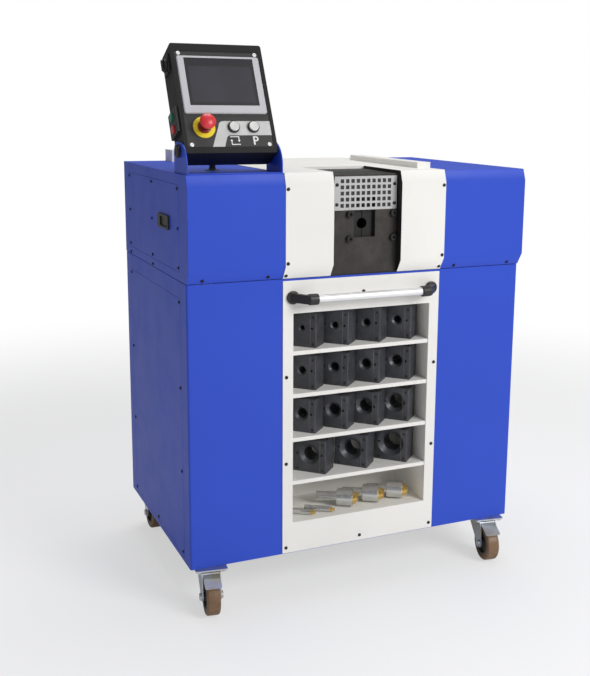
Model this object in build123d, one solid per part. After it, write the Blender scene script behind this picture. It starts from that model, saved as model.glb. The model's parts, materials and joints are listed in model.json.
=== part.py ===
from build123d import *
from math import cos, radians, sin
import os

# Hydraulic crimping and tube-end forming press on casters: a welded cabinet with folded covers, a die rack,
# a clamping head behind a perforated guard and a tilting control panel. Millimetres, +Z up, front towards -Y.
# Lengths are laid out from the cabinet's middle plane (X), its front face (Y) and the floor (Z); the finished
# pieces are moved sideways together, so that the origin is the middle of the footprint.

# ---- cabinet ---------------------------------------------------------------------------------------------
CABINET_WIDTH = 965.0
CABINET_DEPTH = 630.0
LOWER_HEIGHT = 749.0            # welded carcass, from its bottom edge to the seam
UPPER_HEIGHT = 266.0            # hood and side covers above the seam
SLANT_HEIGHT = 32.5             # lower slant of the upper covers
FRONT_OVERHANG = 20.0           # how far the upper front stands out over the carcass
CHAMFER_HEIGHT = 30.5           # slanted top front edge
CHAMFER_SETBACK = 11.0
SHEET = 2.0                     # cover sheet thickness
SEAM_GAP = 1.5                  # visible joint between neighbouring covers
CORNER_RADIUS = 6.0
FLANGE = 14.0                   # folded lips that carry the panels
TRAY_HEIGHT = 40.0
TRAY_PLATE = 4.0
CONTACT_GAP = 0.3               # between facing parts of different bodies
EDGE_BREAK = 1.0                # small chamfers and roundings
OVERRUN = 1.0                   # how far a cutting body passes the face it opens

# ---- side access panels ----------------------------------------------------------------------------------
PANEL_MARGIN = 55.0             # from the front face and from the rear edge
LOWER_PANEL_BOTTOM = 15.0
LOWER_PANEL_TOP_DROP = 45.0
UPPER_PANEL_BOTTOM = 22.0
UPPER_PANEL_TOP_DROP = 27.0
LATCH_LENGTH = 100.0
LATCH_HEIGHT = 36.0
LATCH_CENTRE_Y = 190.0
LATCH_CENTRE_Z = 136.0          # above the seam
LATCH_PROUD = 5.0

# ---- centre hood and head recess -------------------------------------------------------------------------
SIDE_COVER_WIDTH = 253.0        # of each blue cover, from the cabinet's side to the hood
RECESS_WIDTH = 194.0
NOTCH_END_Y = 205.0             # rear edge of the loading notch in the top
TOP_COVER_INSET = 3.5           # from the hood's right edge
TOP_COVER_WIDTH = 40.0
TOP_COVER_START_Y = 60.0
TOP_COVER_LENGTH = 420.0
TOP_COVER_HEIGHT = 16.0

# ---- die rack --------------------------------------------------------------------------------------------
RACK_PANEL_WIDTH = 457.4
RACK_PANEL_BOTTOM = 2.0
RACK_PANEL_TOP_DROP = 6.4
RACK_OPENING_WIDTH = 400.0
RACK_OPENING_BOTTOM = 85.6
RACK_OPENING_TOP_DROP = 92.5    # below the seam
RACK_DEPTH = 170.0
RACK_WALL = 2.0
HEADROOMS = (57.388, 15.033, 16.003, 10.979, 7.497)    # over what stands in each compartment, upwards
SHELF_LIP = 11.0
SHELF_SHEET = 3.0
SHELF_SIDE_GAP = 0.3

# ---- dies and mandrels -----------------------------------------------------------------------------------
DIE_HEIGHT = 93.0
DIE_TURN = 45.0                 # the bored faces look towards the front left
DIE_FRONT_MARGIN = 12.0         # front corner behind the shelf lip
SMALL_DIE_WIDTH = 80.0
SMALL_DIE_THICKNESS = 60.0
SMALL_DIE_PITCH = 94.0
LARGE_DIE_WIDTH = 94.0
LARGE_DIE_THICKNESS = 64.0
LARGE_DIE_PITCH = 124.0
DIE_END_GAP = 5.5
DIE_PIN_RADIUS = 3.0
DIE_PIN_DEPTH = 12.0
DIE_PIN_INSET = 12.0
DIE_EDGE = 2.0
DIE_BORE_SHARE = 0.55           # height of the bore's axis in the block
DIE_MOUTH_FLARE = 1.5           # widest radius of the mouth over the bore's
DIE_BORES = ((6.0, 8.0, 9.0, 10.0), (9.0, 11.0, 12.0, 13.0), (13.0, 15.0, 17.0, 19.0), (19.0, 22.0, 25.0))
MANDREL_TURN = 32.0             # tips look towards the front right
SLENDER_RADIUS = 8.0
SLENDER_LENGTH = 84.0
SLENDER_TIPS = ((-122.0, 22.0), (-66.0, 20.0))
DRUM_RADIUS = 24.0
DRUM_LENGTH = 46.0
SHANK_RADIUS = 13.0
SHANK_LENGTH = 58.0
DRUM_TIPS = ((12.0, 34.0), (92.0, 34.0), (168.0, 34.0))
BRASS_RADIUS = 17.0
BRASS_LENGTH = 14.0
SLENDER_BRASS_RADIUS = 6.0
BRASS_NOSE_SHARE = 0.6
DRUM_EDGE = 2.0
GROOVES = 3
GROOVE_PITCH = 16.8
GROOVE_WIDTH = 2.0
GROOVE_DEPTH = 1.0

# ---- push handle -----------------------------------------------------------------------------------------
HANDLE_TOP_DROP = 50.0          # bar axis below the seam
HANDLE_STAND_OFF = 42.0
HANDLE_BAR_RADIUS = 10.5
HANDLE_BAR_LENGTH = 344.0
HANDLE_BASE_SPACING = 404.0
HANDLE_BASE_RADIUS = 17.5
HANDLE_BASE_THICKNESS = 7.0
HANDLE_COLLAR_WALL = 4.0
HANDLE_COLLAR_LENGTH = 22.0
HANDLE_ELBOW = 4.0              # how far the elbow stands out past the collar
HANDLE_ARM_FOOT = 0.6           # half the arm at its foot, as a share of the foot's radius
HANDLE_ARM_HEIGHT = 0.8         # half the arm's height, as a share of the collar's radius

# ---- clamping head ---------------------------------------------------------------------------------------
HEAD_SET_BACK = 5.0             # front plate behind the carcass front face
HEAD_PLATE_THICKNESS = 12.0
HEAD_TOP_DROP = 6.0             # head top below the hood sheet's underside
HEAD_FRAME_WIDTH = 330.0
HEAD_FRAME_BOTTOM = 12.0        # above the seam
HEAD_REAR_WALL = 80.0
CHAMBER_FLOOR = 86.0            # above the seam
CHAMBER_LEFT = -92.0
CHAMBER_RIGHT = 92.0
JAW_TRAVEL = 20.0
JAW_GAP = 1.0
JAW_SEAT_RADIUS = 14.0
NOSE_REST_GAP = 1.0             # forming rod short of the chamber's rear wall when pushed out
TUBE_AXIS_Z = 131.0             # above the seam
APERTURE_LEFT = -28.0
APERTURE_RIGHT = 33.0
APERTURE_BOTTOM = 96.0          # above the seam
APERTURE_TOP = 206.0
HEAD_SCREW_RADIUS = 9.0
HEAD_SCREW_HEAD = 9.0
HEAD_SCREW_X = (-42.0, 85.0)
HEAD_SCREW_Z = (93.0, 157.0)

# ---- perforated guard ------------------------------------------------------------------------------------
GUARD_WIDTH = 180.0
GUARD_HEIGHT = 87.0
GUARD_THICKNESS = 2.5
GUARD_BOTTOM = 167.5            # above the seam
GUARD_CENTRE_X = 4.0
GUARD_COLUMNS = 10
GUARD_ROWS = 5
GUARD_HOLE = 10.0
GUARD_PITCH_X = 15.1
GUARD_PITCH_Z = 15.8
GUARD_SCREW_SPACING_X = 166.0
GUARD_SCREW_SPACING_Z = 51.0

# ---- control panel ---------------------------------------------------------------------------------------
PANEL_INSET = 128.5             # middle of the panel from the cabinet's left side
PANEL_WIDTH = 240.0
PANEL_HEIGHT = 295.0
PANEL_THICKNESS = 74.0
PANEL_TILT = 26.5
PANEL_FRONT_Y = 16.0            # lower front edge
PANEL_RISE = 51.0               # lower front edge above the cabinet top
PANEL_RIM_SIDE = 10.0
PANEL_RIM_TOP = 21.0
PANEL_RIM_BOTTOM = 16.5
PANEL_POCKET = 4.0
PANEL_PLATE = 3.0
SCREEN_UNIT_WIDTH = 214.0
SCREEN_UNIT_HEIGHT = 156.0
SCREEN_UNIT_BOTTOM = 104.0
SCREEN_UNIT_PROUD = 5.0
GLASS_WIDTH = 180.0
GLASS_HEIGHT = 129.0
GLASS_BOTTOM = 125.0
GLASS_DEPTH = 1.0                # below the front of its frame
GLASS_THICKNESS = 1.5
SCREEN_BODY_DEPTH = 30.0
CONTROL_ROW_Z = 68.0
STOP_X = -63.0
STOP_RING_RADIUS = 28.0
STOP_RING_THICKNESS = 2.5
STOP_COLLAR_RADIUS = 17.0
STOP_COLLAR_HEIGHT = 12.0
STOP_STEM_RADIUS = 12.0
STOP_HEAD_RADIUS = 20.0
STOP_HEAD_THICKNESS = 17.0
STOP_HEAD_STAND = 46.0          # front of the mushroom head above the plate
STOP_SPIGOT_RADIUS = 6.0
STOP_SPIGOT_LENGTH = 9.0
STOP_THREAD_RADIUS = 14.5
STOP_TRAVEL = 6.0
BUTTON_X = (12.7, 63.9)
BEZEL_RADIUS = 15.0
BEZEL_HEIGHT = 7.0
BEZEL_THREAD_RADIUS = 11.0
THREAD_LENGTH = 16.0            # behind the panel plate
CAP_RADIUS = 12.2
CAP_PROUD = 3.0
CAP_SHANK_RADIUS = 5.0
CAP_SHANK_LENGTH = 12.0
BUTTON_TRAVEL = 3.5
STATION_BOTTOM = 62.0
STATION_HEIGHT = 66.0
STATION_DEPTH = 62.0
STATION_THICKNESS = 9.0
STATION_FLOOR = 1.0             # left behind the button wells
SIDE_BUTTON_RADIUS = 11.0
SIDE_BUTTON_PROUD = 4.0
SIDE_BUTTON_LENGTH = 9.0
SIDE_BUTTON_TRAVEL = 2.5
SIDE_BUTTON_SPACING = 32.0
SWITCH_CENTRE_Z = 252.0
SWITCH_SIZE = 46.0
SWITCH_BASE_THICKNESS = 4.0
SWITCH_KNOB_RADIUS = 17.0
SWITCH_KNOB_HEIGHT = 6.0
SWITCH_GRIP_WIDTH = 9.0
SWITCH_GRIP_HEIGHT = 5.0
SWITCH_SPINDLE_RADIUS = 4.0
SWITCH_GRIP_INSET = 2.0         # grip end from the rim of the knob
SWITCH_GRIP_FLAT = 0.5          # what is left between the rounded corners of the grip's end
BRACKET_SHEET = 3.0
BRACKET_SIDE_GAP = 0.5
BRACKET_FRONT_Y = -5.0
BRACKET_DEPTH = 109.0
BRACKET_HEIGHT = 77.0
BRACKET_CURVE = 58.0
BRACKET_REAR_CURVE = 28.0       # clears the side station when the panel leans back
PIVOT_DEPTH = 34.0              # behind the panel's front face
PIVOT_HEIGHT = 21.0             # above the panel's lower edge
PIVOT_RADIUS = 5.0
PIVOT_KNOB_RADIUS = 16.0
PIVOT_KNOB_LENGTH = 9.0
PIVOT_KNOB_EDGE = 1.5
CABLE_RADIUS = 5.0
CABLE_OFFSET = 14.0             # left of the middle of the panel
GLAND_RADIUS = 10.0
GLAND_LENGTH = 15.0
GLAND_NUT_SHARE = 0.4           # hexagon nut, as a share of the gland's length
GLAND_DOME_SHARE = 0.8          # dome radius over the nut's
BASE_GLAND_Y = 137.8
BASE_GLAND_HEIGHT = 15.7
PANEL_GLAND_HEIGHT = 45.0
CABLE_FIRST_RUN = 7.5
CABLE_ARC_SHARE = 0.45          # how much of a run its bends take at each end
# (y, height above the cabinet top) after the first run, down to the gland in the top
CABLE_ROUTE = ((132.4, 37.2), (137.8, 23.2), (137.8, 15.7))

# ---- connection box and mains gland ----------------------------------------------------------------------
TOP_BOX_WIDTH = 90.0
TOP_BOX_DEPTH = 70.0
TOP_BOX_HEIGHT = 34.0
TOP_BOX_INSET = 125.5           # from the cabinet's left side
MAINS_GLAND_INSET = 152.5       # from the cabinet's left side
MAINS_GLAND_Z = 90.0
MAINS_BORE_RADIUS = 7.0
MAINS_THREAD_RADIUS = 10.0
MAINS_BODY_RADIUS = 14.0
MAINS_DOME = 18.0
MAINS_NUT = 6.0

# ---- rear ventilation ------------------------------------------------------------------------------------
VENT_X = 220.0
VENT_ROWS = 6
VENT_PITCH = 26.0
VENT_LENGTH = 120.0
VENT_HEIGHT = 8.0
VENT_TOP_DROP = 120.0

# ---- casters ---------------------------------------------------------------------------------------------
CASTER_HEIGHT = 128.0
CASTER_INSET = 58.5             # wheel centre from the cabinet's side
CASTER_Y = 33.0                 # swivel axis behind the carcass front face
CASTER_SWING = -8.0             # how the front casters stand
CASTER_TRAIL = 36.0
WHEEL_RADIUS = 50.0
WHEEL_WIDTH = 36.0
HUB_RADIUS = 33.0
HUB_WIDTH = 40.0
AXLE_RADIUS = 6.0
AXLE_NUT = 5.0
AXLE_NUT_RADIUS = 9.6
FORK_SHEET = 3.0
FORK_CLEARANCE = 2.5            # between hub and fork leg
FORK_BRIDGE_Z = 106.0
FORK_HALF_DEPTH = 31.0
FORK_SHOULDER = 5.0             # straight stretch of the legs under the bridge
FORK_BRIDGE_LEAD = 3.0          # bridge ahead of the pedal pin
SWIVEL_HEAD_RADIUS = 29.0
SWIVEL_HEAD_TOP_Z = 115.7
KINGPIN_RADIUS = 6.0
RACE_RADIUS = 27.0
CASTER_PLATE_THICKNESS = 4.0
CASTER_PLATE_LENGTH = 104.0
CASTER_PLATE_WIDTH = 84.0
CASTER_BOLT_INSET = 10.0
CASTER_BOLT_RADIUS = 6.0
CASTER_BOLT_HEAD = 5.0
TREAD_ROUNDING = 6.0
HUB_RIM = 6.0
HUB_DISH = 8.0
HUB_BOSS_RADIUS = 12.0
PEDAL_WIDTH = 44.0
PEDAL_LENGTH = 50.0
PEDAL_SHEET = 3.0
PEDAL_SLOPE = 26.0
PEDAL_PIN_Y = -34.0             # in the fork, ahead of the swivel axis
PEDAL_PIN_Z = 111.0
PEDAL_PIN_RADIUS = 2.5
PEDAL_BARREL_RADIUS = 4.0

# ---- hydraulics ------------------------------------------------------------------------------------------
TANK_WIDTH = 380.0
TANK_DEPTH = 300.0
TANK_HEIGHT = 200.0
TANK_FEET = 20.0
TANK_FRONT_Y = 200.0
FILLER_RADIUS = 20.0
FILLER_HEIGHT = 30.0
MOTOR_FOOT = 10.0
MOTOR_FIN = 4.0
MOTOR_FIN_THICKNESS = 2.0
MOTOR_FOOT_HALF = 59.5
MOTOR_FOOT_OVERLAP = 34.0       # how far the foot reaches up into the motor
MOTOR_SET_BACK = 165.0          # shaft behind the front of the tank
MOTOR_FINS = 20
MOTOR_CAP = 22.0
MOTOR_RADIUS = 85.0
MOTOR_LENGTH = 230.0
BELL_RADIUS = 62.0
BELL_LENGTH = 60.0
PUMP_SIZE = 70.0
PUMP_LENGTH = 80.0
VALVE_BLOCK = (120.0, 50.0, 110.0)
SOLENOID_RADIUS = 20.0
CYLINDER_RADIUS = 55.0
CYLINDER_WALL = 12.0
CLAMP_CYLINDER_LENGTH = 120.0
FORMING_CYLINDER_LENGTH = 190.0
PISTON_LENGTH = 40.0
PISTON_REST_GAP = 1.0
ROD_RADIUS = 22.0
FORMING_TRAVEL = 40.0
MANDREL_NOSE_RADIUS = 9.0
MANDREL_NOSE_LENGTH = 40.0
POST_SIZE = 40.0
POST_SPACING = 500.0
REAR_POST_Y = 440.0
RUNNING_CLEARANCE = 0.05

# ---- screws ----------------------------------------------------------------------------------------------
SCREW_HEAD_RADIUS = 4.5
SCREW_HEAD_HEIGHT = 2.2
SCREW_INSET = 10.0
SCREW_EDGE = 6.5
LIP_SCREW_Z = 6.0               # side cover's lower screws, above the seam
SLANT_SCREW_SHARE = 0.25        # how far up the slant its screws sit
RACK_SCREW_PITCH = 236.0
HOOD_SCREW_LOW = 41.0           # above the seam
HOOD_SCREW_HIGH = 228.0
COVER_SCREW_NEAR = 41.5         # from the hood's edge
COVER_SCREW_FAR = 39.5          # from the cabinet's side
GUARD_SCREW_RISE = 15.0

# ---- values worked out from the sizes above --------------------------------------------------------------
HALF_WIDTH = CABINET_WIDTH / 2
RACK_OPENING_TOP = LOWER_HEIGHT - RACK_OPENING_TOP_DROP
SHELVES = len(HEADROOMS) - 1
CONTENTS_HEIGHT = 2 * DRUM_RADIUS + SHELVES * (SHELF_LIP + DIE_HEIGHT)
SPARE_HEIGHT = RACK_OPENING_TOP - RACK_OPENING_BOTTOM - CONTENTS_HEIGHT
SHELF_UNDERSIDES = [
    RACK_OPENING_BOTTOM + 2 * DRUM_RADIUS + place * (SHELF_LIP + DIE_HEIGHT)
    + SPARE_HEIGHT * sum(HEADROOMS[: place + 1]) / sum(HEADROOMS)
    for place in range(SHELVES)
]
HANDLE_CENTRE_Z = LOWER_HEIGHT - HANDLE_TOP_DROP
HANDLE_BAR_HALF = HANDLE_BAR_LENGTH / 2
HANDLE_BASE_X = HANDLE_BASE_SPACING / 2
PANEL_CENTRE_X = PANEL_INSET - HALF_WIDTH
CABLE_X = PANEL_CENTRE_X - CABLE_OFFSET
TOP_BOX_LEFT = TOP_BOX_INSET - HALF_WIDTH
MAINS_GLAND_X = MAINS_GLAND_INSET - HALF_WIDTH
CASTER_X = HALF_WIDTH - CASTER_INSET
POST_X = POST_SPACING / 2
HALF_HOOD = HALF_WIDTH - SIDE_COVER_WIDTH
HALF_RECESS = RECESS_WIDTH / 2
FLOOR_TO_BOTTOM = CASTER_HEIGHT
SEAM_Z = FLOOR_TO_BOTTOM + LOWER_HEIGHT
TOP_Z = SEAM_Z + UPPER_HEIGHT
HOOD_TOP_Z = TOP_Z + SHEET
HEAD_TOP_Z = TOP_Z - HEAD_TOP_DROP
TUBE_Z = SEAM_Z + TUBE_AXIS_Z
MAINS_Z = FLOOR_TO_BOTTOM + MAINS_GLAND_Z
HEAD_BODY_Y = HEAD_SET_BACK + HEAD_PLATE_THICKNESS
JAW_BACK_Y = NOTCH_END_Y - HEAD_REAR_WALL
CYLINDER_BORE = CYLINDER_RADIUS - CYLINDER_WALL
ROD_BORE = ROD_RADIUS + RUNNING_CLEARANCE
FRAME_HALF = HEAD_FRAME_WIDTH / 2
PANEL_FRAME = Pos(PANEL_CENTRE_X, PANEL_FRONT_Y, TOP_Z + PANEL_RISE) * Rot(-PANEL_TILT, 0, 0)
PLATE_Y = PANEL_POCKET - PANEL_PLATE                # front of the panel plate, in the panel's own frame
PLATE_BACK_Y = PANEL_POCKET
THREAD_END_Y = PLATE_BACK_Y + THREAD_LENGTH
CAP_TOP_Y = PLATE_Y - BEZEL_HEIGHT - CAP_PROUD
STATION_CENTRE_Y = PANEL_THICKNESS / 2
WHEEL_CLEAR_RADIUS = AXLE_RADIUS + RUNNING_CLEARANCE
LEG_INNER = HUB_WIDTH / 2 + FORK_CLEARANCE
LEG_OUTER = LEG_INNER + FORK_SHEET


def block(x0, x1, y0, y1, z0, z1):
    """A box between two corners."""
    return Pos((x0 + x1) / 2, (y0 + y1) / 2, (z0 + z1) / 2) * Box(x1 - x0, y1 - y0, z1 - z0)


def rod_x(x0, x1, y, z, radius):
    return Pos((x0 + x1) / 2, y, z) * Rot(0, 90, 0) * Cylinder(radius, x1 - x0)


def rod_y(x, y0, y1, z, radius):
    return Pos(x, (y0 + y1) / 2, z) * Rot(90, 0, 0) * Cylinder(radius, y1 - y0)


def rod_z(x, y, z0, z1, radius):
    return Pos(x, y, (z0 + z1) / 2) * Cylinder(radius, z1 - z0)


def prism_x(points, x0, x1):
    """A (y, z) outline drawn out along X."""
    face = Plane.YZ.offset(x0) * make_face(Polyline(*points, close=True))
    return extrude(face, x1 - x0)


# ---- cabinet ---------------------------------------------------------------------------------------------
def side_window(side, y0, y1, z0, z1):
    """The cutting block of one side window, one sheet deep."""
    outer = side * HALF_WIDTH
    inner = side * (HALF_WIDTH - SHEET)
    return block(min(outer, inner), max(outer, inner), y0, y1, z0, z1)


def window_flange(side, y0, y1, z0, z1):
    """The folded lip behind a side window that the access panel is screwed to."""
    outer = side * (HALF_WIDTH - SHEET)
    inner = side * (HALF_WIDTH - 2 * SHEET)
    x0, x1 = min(outer, inner), max(outer, inner)
    ring = block(x0, x1, y0 - FLANGE, y1 + FLANGE, z0 - FLANGE / 2, z1 + FLANGE / 2)
    return ring - block(x0, x1, y0 + FLANGE, y1 - FLANGE, z0 + FLANGE, z1 - FLANGE)


def lower_window():
    return (
        PANEL_MARGIN,
        CABINET_DEPTH - PANEL_MARGIN,
        FLOOR_TO_BOTTOM + LOWER_PANEL_BOTTOM,
        SEAM_Z - LOWER_PANEL_TOP_DROP,
    )


def upper_window():
    return (
        PANEL_MARGIN,
        CABINET_DEPTH - PANEL_MARGIN,
        SEAM_Z + UPPER_PANEL_BOTTOM,
        TOP_Z - UPPER_PANEL_TOP_DROP,
    )


def access_panel(side, window):
    y0, y1, z0, z1 = window
    reveal = SEAM_GAP / 2
    panel = side_window(side, y0 + reveal, y1 - reveal, z0 + reveal, z1 - reveal)
    return fillet(panel.edges().filter_by(Axis.X), CORNER_RADIUS / 2)


def base_tray():
    """Floor of the cabinet: a thick plate with a rim, which catches leaking oil and carries the casters."""
    x, y1 = HALF_WIDTH - 2 * SHEET, CABINET_DEPTH - SHEET
    z0, z1 = FLOOR_TO_BOTTOM, FLOOR_TO_BOTTOM + TRAY_HEIGHT
    tray = block(-x, x, SHEET, y1, z0, z1)
    return tray - block(-x + SHEET, x - SHEET, 2 * SHEET, y1 - SHEET, z0 + TRAY_PLATE, z1)


def lower_cabinet():
    """Welded carcass: front with the rack opening, two sides with windows, rear lips."""
    z0, z1 = FLOOR_TO_BOTTOM, SEAM_Z - SEAM_GAP
    body = block(-HALF_WIDTH, HALF_WIDTH, 0, CABINET_DEPTH, z0, z1)
    body = fillet(body.edges().filter_by(Axis.Z), CORNER_RADIUS)
    hollow = block(-HALF_WIDTH + SHEET, HALF_WIDTH - SHEET, SHEET, CABINET_DEPTH - SHEET, z0, z1)
    lip = 2 * FLANGE
    rear = block(-HALF_WIDTH + lip, HALF_WIDTH - lip, CABINET_DEPTH - SHEET, CABINET_DEPTH, z0, z1)
    half = RACK_OPENING_WIDTH / 2 + RACK_WALL
    low = FLOOR_TO_BOTTOM + RACK_OPENING_BOTTOM - RACK_WALL
    high = FLOOR_TO_BOTTOM + RACK_OPENING_TOP + RACK_WALL
    body = body - hollow - rear - block(-half, half, 0, SHEET, low, high)
    for side in (-1, 1):
        body = body - side_window(side, *lower_window())
        body = body + window_flange(side, *lower_window())
    return body


def rear_panel():
    """Rear cover with ventilation slots for the power unit and the hole of the mains gland."""
    y0, y1 = CABINET_DEPTH - SHEET, CABINET_DEPTH
    half = HALF_WIDTH - 2 * FLANGE - SEAM_GAP / 2
    upper_half = HALF_WIDTH - SHEET - SEAM_GAP / 2
    panel = block(-half, half, y0, y1, FLOOR_TO_BOTTOM + TRAY_HEIGHT, TOP_Z - SHEET)
    panel = panel + block(-upper_half, upper_half, y0, y1, SEAM_Z, TOP_Z - SHEET)
    for x in (-VENT_X, VENT_X):
        for row in range(VENT_ROWS):
            z = SEAM_Z - VENT_TOP_DROP - row * VENT_PITCH
            panel = panel - Pos(x, CABINET_DEPTH, z) * Box(VENT_LENGTH, 4 * SHEET, VENT_HEIGHT)
    return panel - rod_y(MAINS_GLAND_X, y0 - SHEET, y1 + SHEET, MAINS_Z, MAINS_THREAD_RADIUS)


def mains_gland():
    """Threaded cable entry in the rear panel: nut, thread and open bore."""
    inner = CABINET_DEPTH - SHEET - MAINS_NUT
    outer = CABINET_DEPTH + MAINS_DOME
    body = rod_y(MAINS_GLAND_X, CABINET_DEPTH - SHEET, CABINET_DEPTH, MAINS_Z, MAINS_THREAD_RADIUS)
    body = body + rod_y(MAINS_GLAND_X, CABINET_DEPTH, outer, MAINS_Z, MAINS_BODY_RADIUS)
    body = body + rod_y(MAINS_GLAND_X, inner, CABINET_DEPTH - SHEET, MAINS_Z, MAINS_BODY_RADIUS)
    return body - rod_y(MAINS_GLAND_X, inner - OVERRUN, outer + OVERRUN, MAINS_Z, MAINS_BORE_RADIUS)


def cover_outline(grow, top_grow):
    """(y, z) outline of the upper covers; grow moves the front faces out, top_grow the top."""
    front = -FRONT_OVERHANG - grow
    z_slant = SEAM_Z + SLANT_HEIGHT
    z_chamfer = TOP_Z - CHAMFER_HEIGHT
    return (
        (-grow, SEAM_Z),
        (front, z_slant),
        (front, z_chamfer),
        (front + CHAMFER_SETBACK, TOP_Z + top_grow),
        (CABINET_DEPTH, TOP_Z + top_grow),
        (CABINET_DEPTH, SEAM_Z),
    )


def x_range(side, near, far):
    """The sorted ends of a stretch on the left (-1) or right (+1) of the middle."""
    return sorted((side * near, side * far))


def upper_cover(side):
    """Folded side cover: slant, front, chamfer, top, side wall with a window, lip inside the carcass."""
    x0, x1 = x_range(side, HALF_HOOD - FLANGE, HALF_WIDTH)
    inner_x0, inner_x1 = x_range(side, HALF_HOOD - 2 * FLANGE, HALF_WIDTH - SHEET)
    cover = prism_x(cover_outline(0, 0), x0, x1) - prism_x(cover_outline(-SHEET, -SHEET), inner_x0, inner_x1)
    lip_x0, lip_x1 = x_range(side, HALF_WIDTH - 2 * SHEET, HALF_WIDTH - SHEET)
    lip = block(lip_x0, lip_x1, PANEL_MARGIN, CABINET_DEPTH - PANEL_MARGIN, SEAM_Z - FLANGE, SEAM_Z + FLANGE)
    cover = cover - side_window(side, *upper_window())
    return cover + lip + window_flange(side, *upper_window())


def centre_hood():
    """White centre hood lying over the side covers, open for the clamping head in front and on top."""
    hood = prism_x(cover_outline(SHEET, SHEET), -HALF_HOOD, HALF_HOOD)
    hood = hood - prism_x(cover_outline(0, 0), -HALF_HOOD - SHEET, HALF_HOOD + SHEET)
    front, low, high = -2 * FRONT_OVERHANG, SEAM_Z - SHEET, HOOD_TOP_Z + SHEET
    hood = hood - block(-HALF_RECESS, HALF_RECESS, front, NOTCH_END_Y, low, high)
    for side in (-1, 1):
        x0, x1 = x_range(side, HALF_RECESS, HALF_RECESS + SHEET)
        front_lip = block(x0, x1, -FRONT_OVERHANG, HEAD_SET_BACK, SEAM_Z, TOP_Z)
        top_lip = block(x0, x1, HEAD_SET_BACK, NOTCH_END_Y, HEAD_TOP_Z, TOP_Z)
        hood = hood + (front_lip & prism_x(cover_outline(0, 0), x0, x1)) + top_lip
    half = HALF_RECESS + SHEET
    return hood + block(-half, half, NOTCH_END_Y, NOTCH_END_Y + SHEET, HEAD_TOP_Z, TOP_Z)


def hood_top_cover():
    """Shallow raised cover on the hood, over the clamping cylinder."""
    x1 = HALF_HOOD - TOP_COVER_INSET
    y1 = TOP_COVER_START_Y + TOP_COVER_LENGTH
    cover = block(x1 - TOP_COVER_WIDTH, x1, TOP_COVER_START_Y, y1, HOOD_TOP_Z, HOOD_TOP_Z + TOP_COVER_HEIGHT)
    return fillet(cover.edges().group_by(Axis.Z)[-1], SHEET)


def latch(side):
    """Recessed pull of an upper access panel."""
    x0, x1 = x_range(side, HALF_WIDTH, HALF_WIDTH + LATCH_PROUD)
    y0, y1 = LATCH_CENTRE_Y - LATCH_LENGTH / 2, LATCH_CENTRE_Y + LATCH_LENGTH / 2
    z0 = SEAM_Z + LATCH_CENTRE_Z - LATCH_HEIGHT / 2
    body = fillet(block(x0, x1, y0, y1, z0, z0 + LATCH_HEIGHT).edges().filter_by(Axis.X), CORNER_RADIUS)
    pocket_x0, pocket_x1 = x_range(side, HALF_WIDTH + LATCH_PROUD / 4, HALF_WIDTH + 2 * LATCH_PROUD)
    rim = CORNER_RADIUS
    pocket = block(pocket_x0, pocket_x1, y0 + rim, y1 - 4 * rim, z0 + rim, z0 + LATCH_HEIGHT - rim)
    return body - pocket


def connection_box():
    """Small box on the rear of the top, behind the control panel."""
    x1, y0 = TOP_BOX_LEFT + TOP_BOX_WIDTH, CABINET_DEPTH - TOP_BOX_DEPTH
    box = block(TOP_BOX_LEFT, x1, y0, CABINET_DEPTH, TOP_Z, TOP_Z + TOP_BOX_HEIGHT)
    return fillet(box.edges().filter_by(Axis.Z), SHEET)


def inner_frame():
    """Welded frame of square tube that stands on the tray and carries the clamping head."""
    z0, z1 = FLOOR_TO_BOTTOM + TRAY_PLATE, SEAM_Z + HEAD_FRAME_BOTTOM
    half, beam = POST_SIZE / 2, z1 - POST_SIZE
    front_y = HEAD_BODY_Y + half
    frame = None
    for side in (-1, 1):
        x0, x1 = x_range(side, POST_X - half, POST_X + half)
        rail = block(x0, x1, front_y - half, REAR_POST_Y + half, beam, z1)
        frame = rail if frame is None else frame + rail
        for y in (front_y, REAR_POST_Y):
            frame = frame + block(x0, x1, y - half, y + half, z0, beam)
    for y in (front_y, NOTCH_END_Y - half, REAR_POST_Y):
        frame = frame + block(-POST_X, POST_X, y - half, y + half, beam, z1)
    return frame


# ---- die rack --------------------------------------------------------------------------------------------
def rack_panel():
    half = RACK_PANEL_WIDTH / 2
    z0, z1 = FLOOR_TO_BOTTOM + RACK_PANEL_BOTTOM, SEAM_Z - RACK_PANEL_TOP_DROP
    panel = fillet(block(-half, half, -SHEET, 0, z0, z1).edges().filter_by(Axis.Y), SHEET)
    opening = RACK_OPENING_WIDTH / 2
    low, high = FLOOR_TO_BOTTOM + RACK_OPENING_BOTTOM, FLOOR_TO_BOTTOM + RACK_OPENING_TOP
    return panel - block(-opening, opening, -2 * SHEET, SHEET, low, high)


def rack_box():
    """Open-fronted sheet box behind the rack panel."""
    half = RACK_OPENING_WIDTH / 2
    low, high = FLOOR_TO_BOTTOM + RACK_OPENING_BOTTOM, FLOOR_TO_BOTTOM + RACK_OPENING_TOP
    back = RACK_DEPTH
    box = block(-half - RACK_WALL, half + RACK_WALL, 0, back + RACK_WALL, low - RACK_WALL, high + RACK_WALL)
    return box - block(-half, half, -OVERRUN, back, low, high)


def shelf(underside):
    """Folded shelf: flat sheet with a lip along the front, between the walls of the rack box."""
    half = RACK_OPENING_WIDTH / 2 - SHELF_SIDE_GAP
    z0 = FLOOR_TO_BOTTOM + underside
    top = z0 + SHELF_LIP
    sheet = block(-half, half, 0, RACK_DEPTH - SHELF_SIDE_GAP, top - SHELF_SHEET, top)
    return sheet + block(-half, half, 0, SHELF_SHEET, z0, top)


def shelf_tops():
    """Standing heights from the lowest compartment up."""
    floor = FLOOR_TO_BOTTOM + RACK_OPENING_BOTTOM
    return [floor] + [FLOOR_TO_BOTTOM + underside + SHELF_LIP for underside in SHELF_UNDERSIDES]


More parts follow.
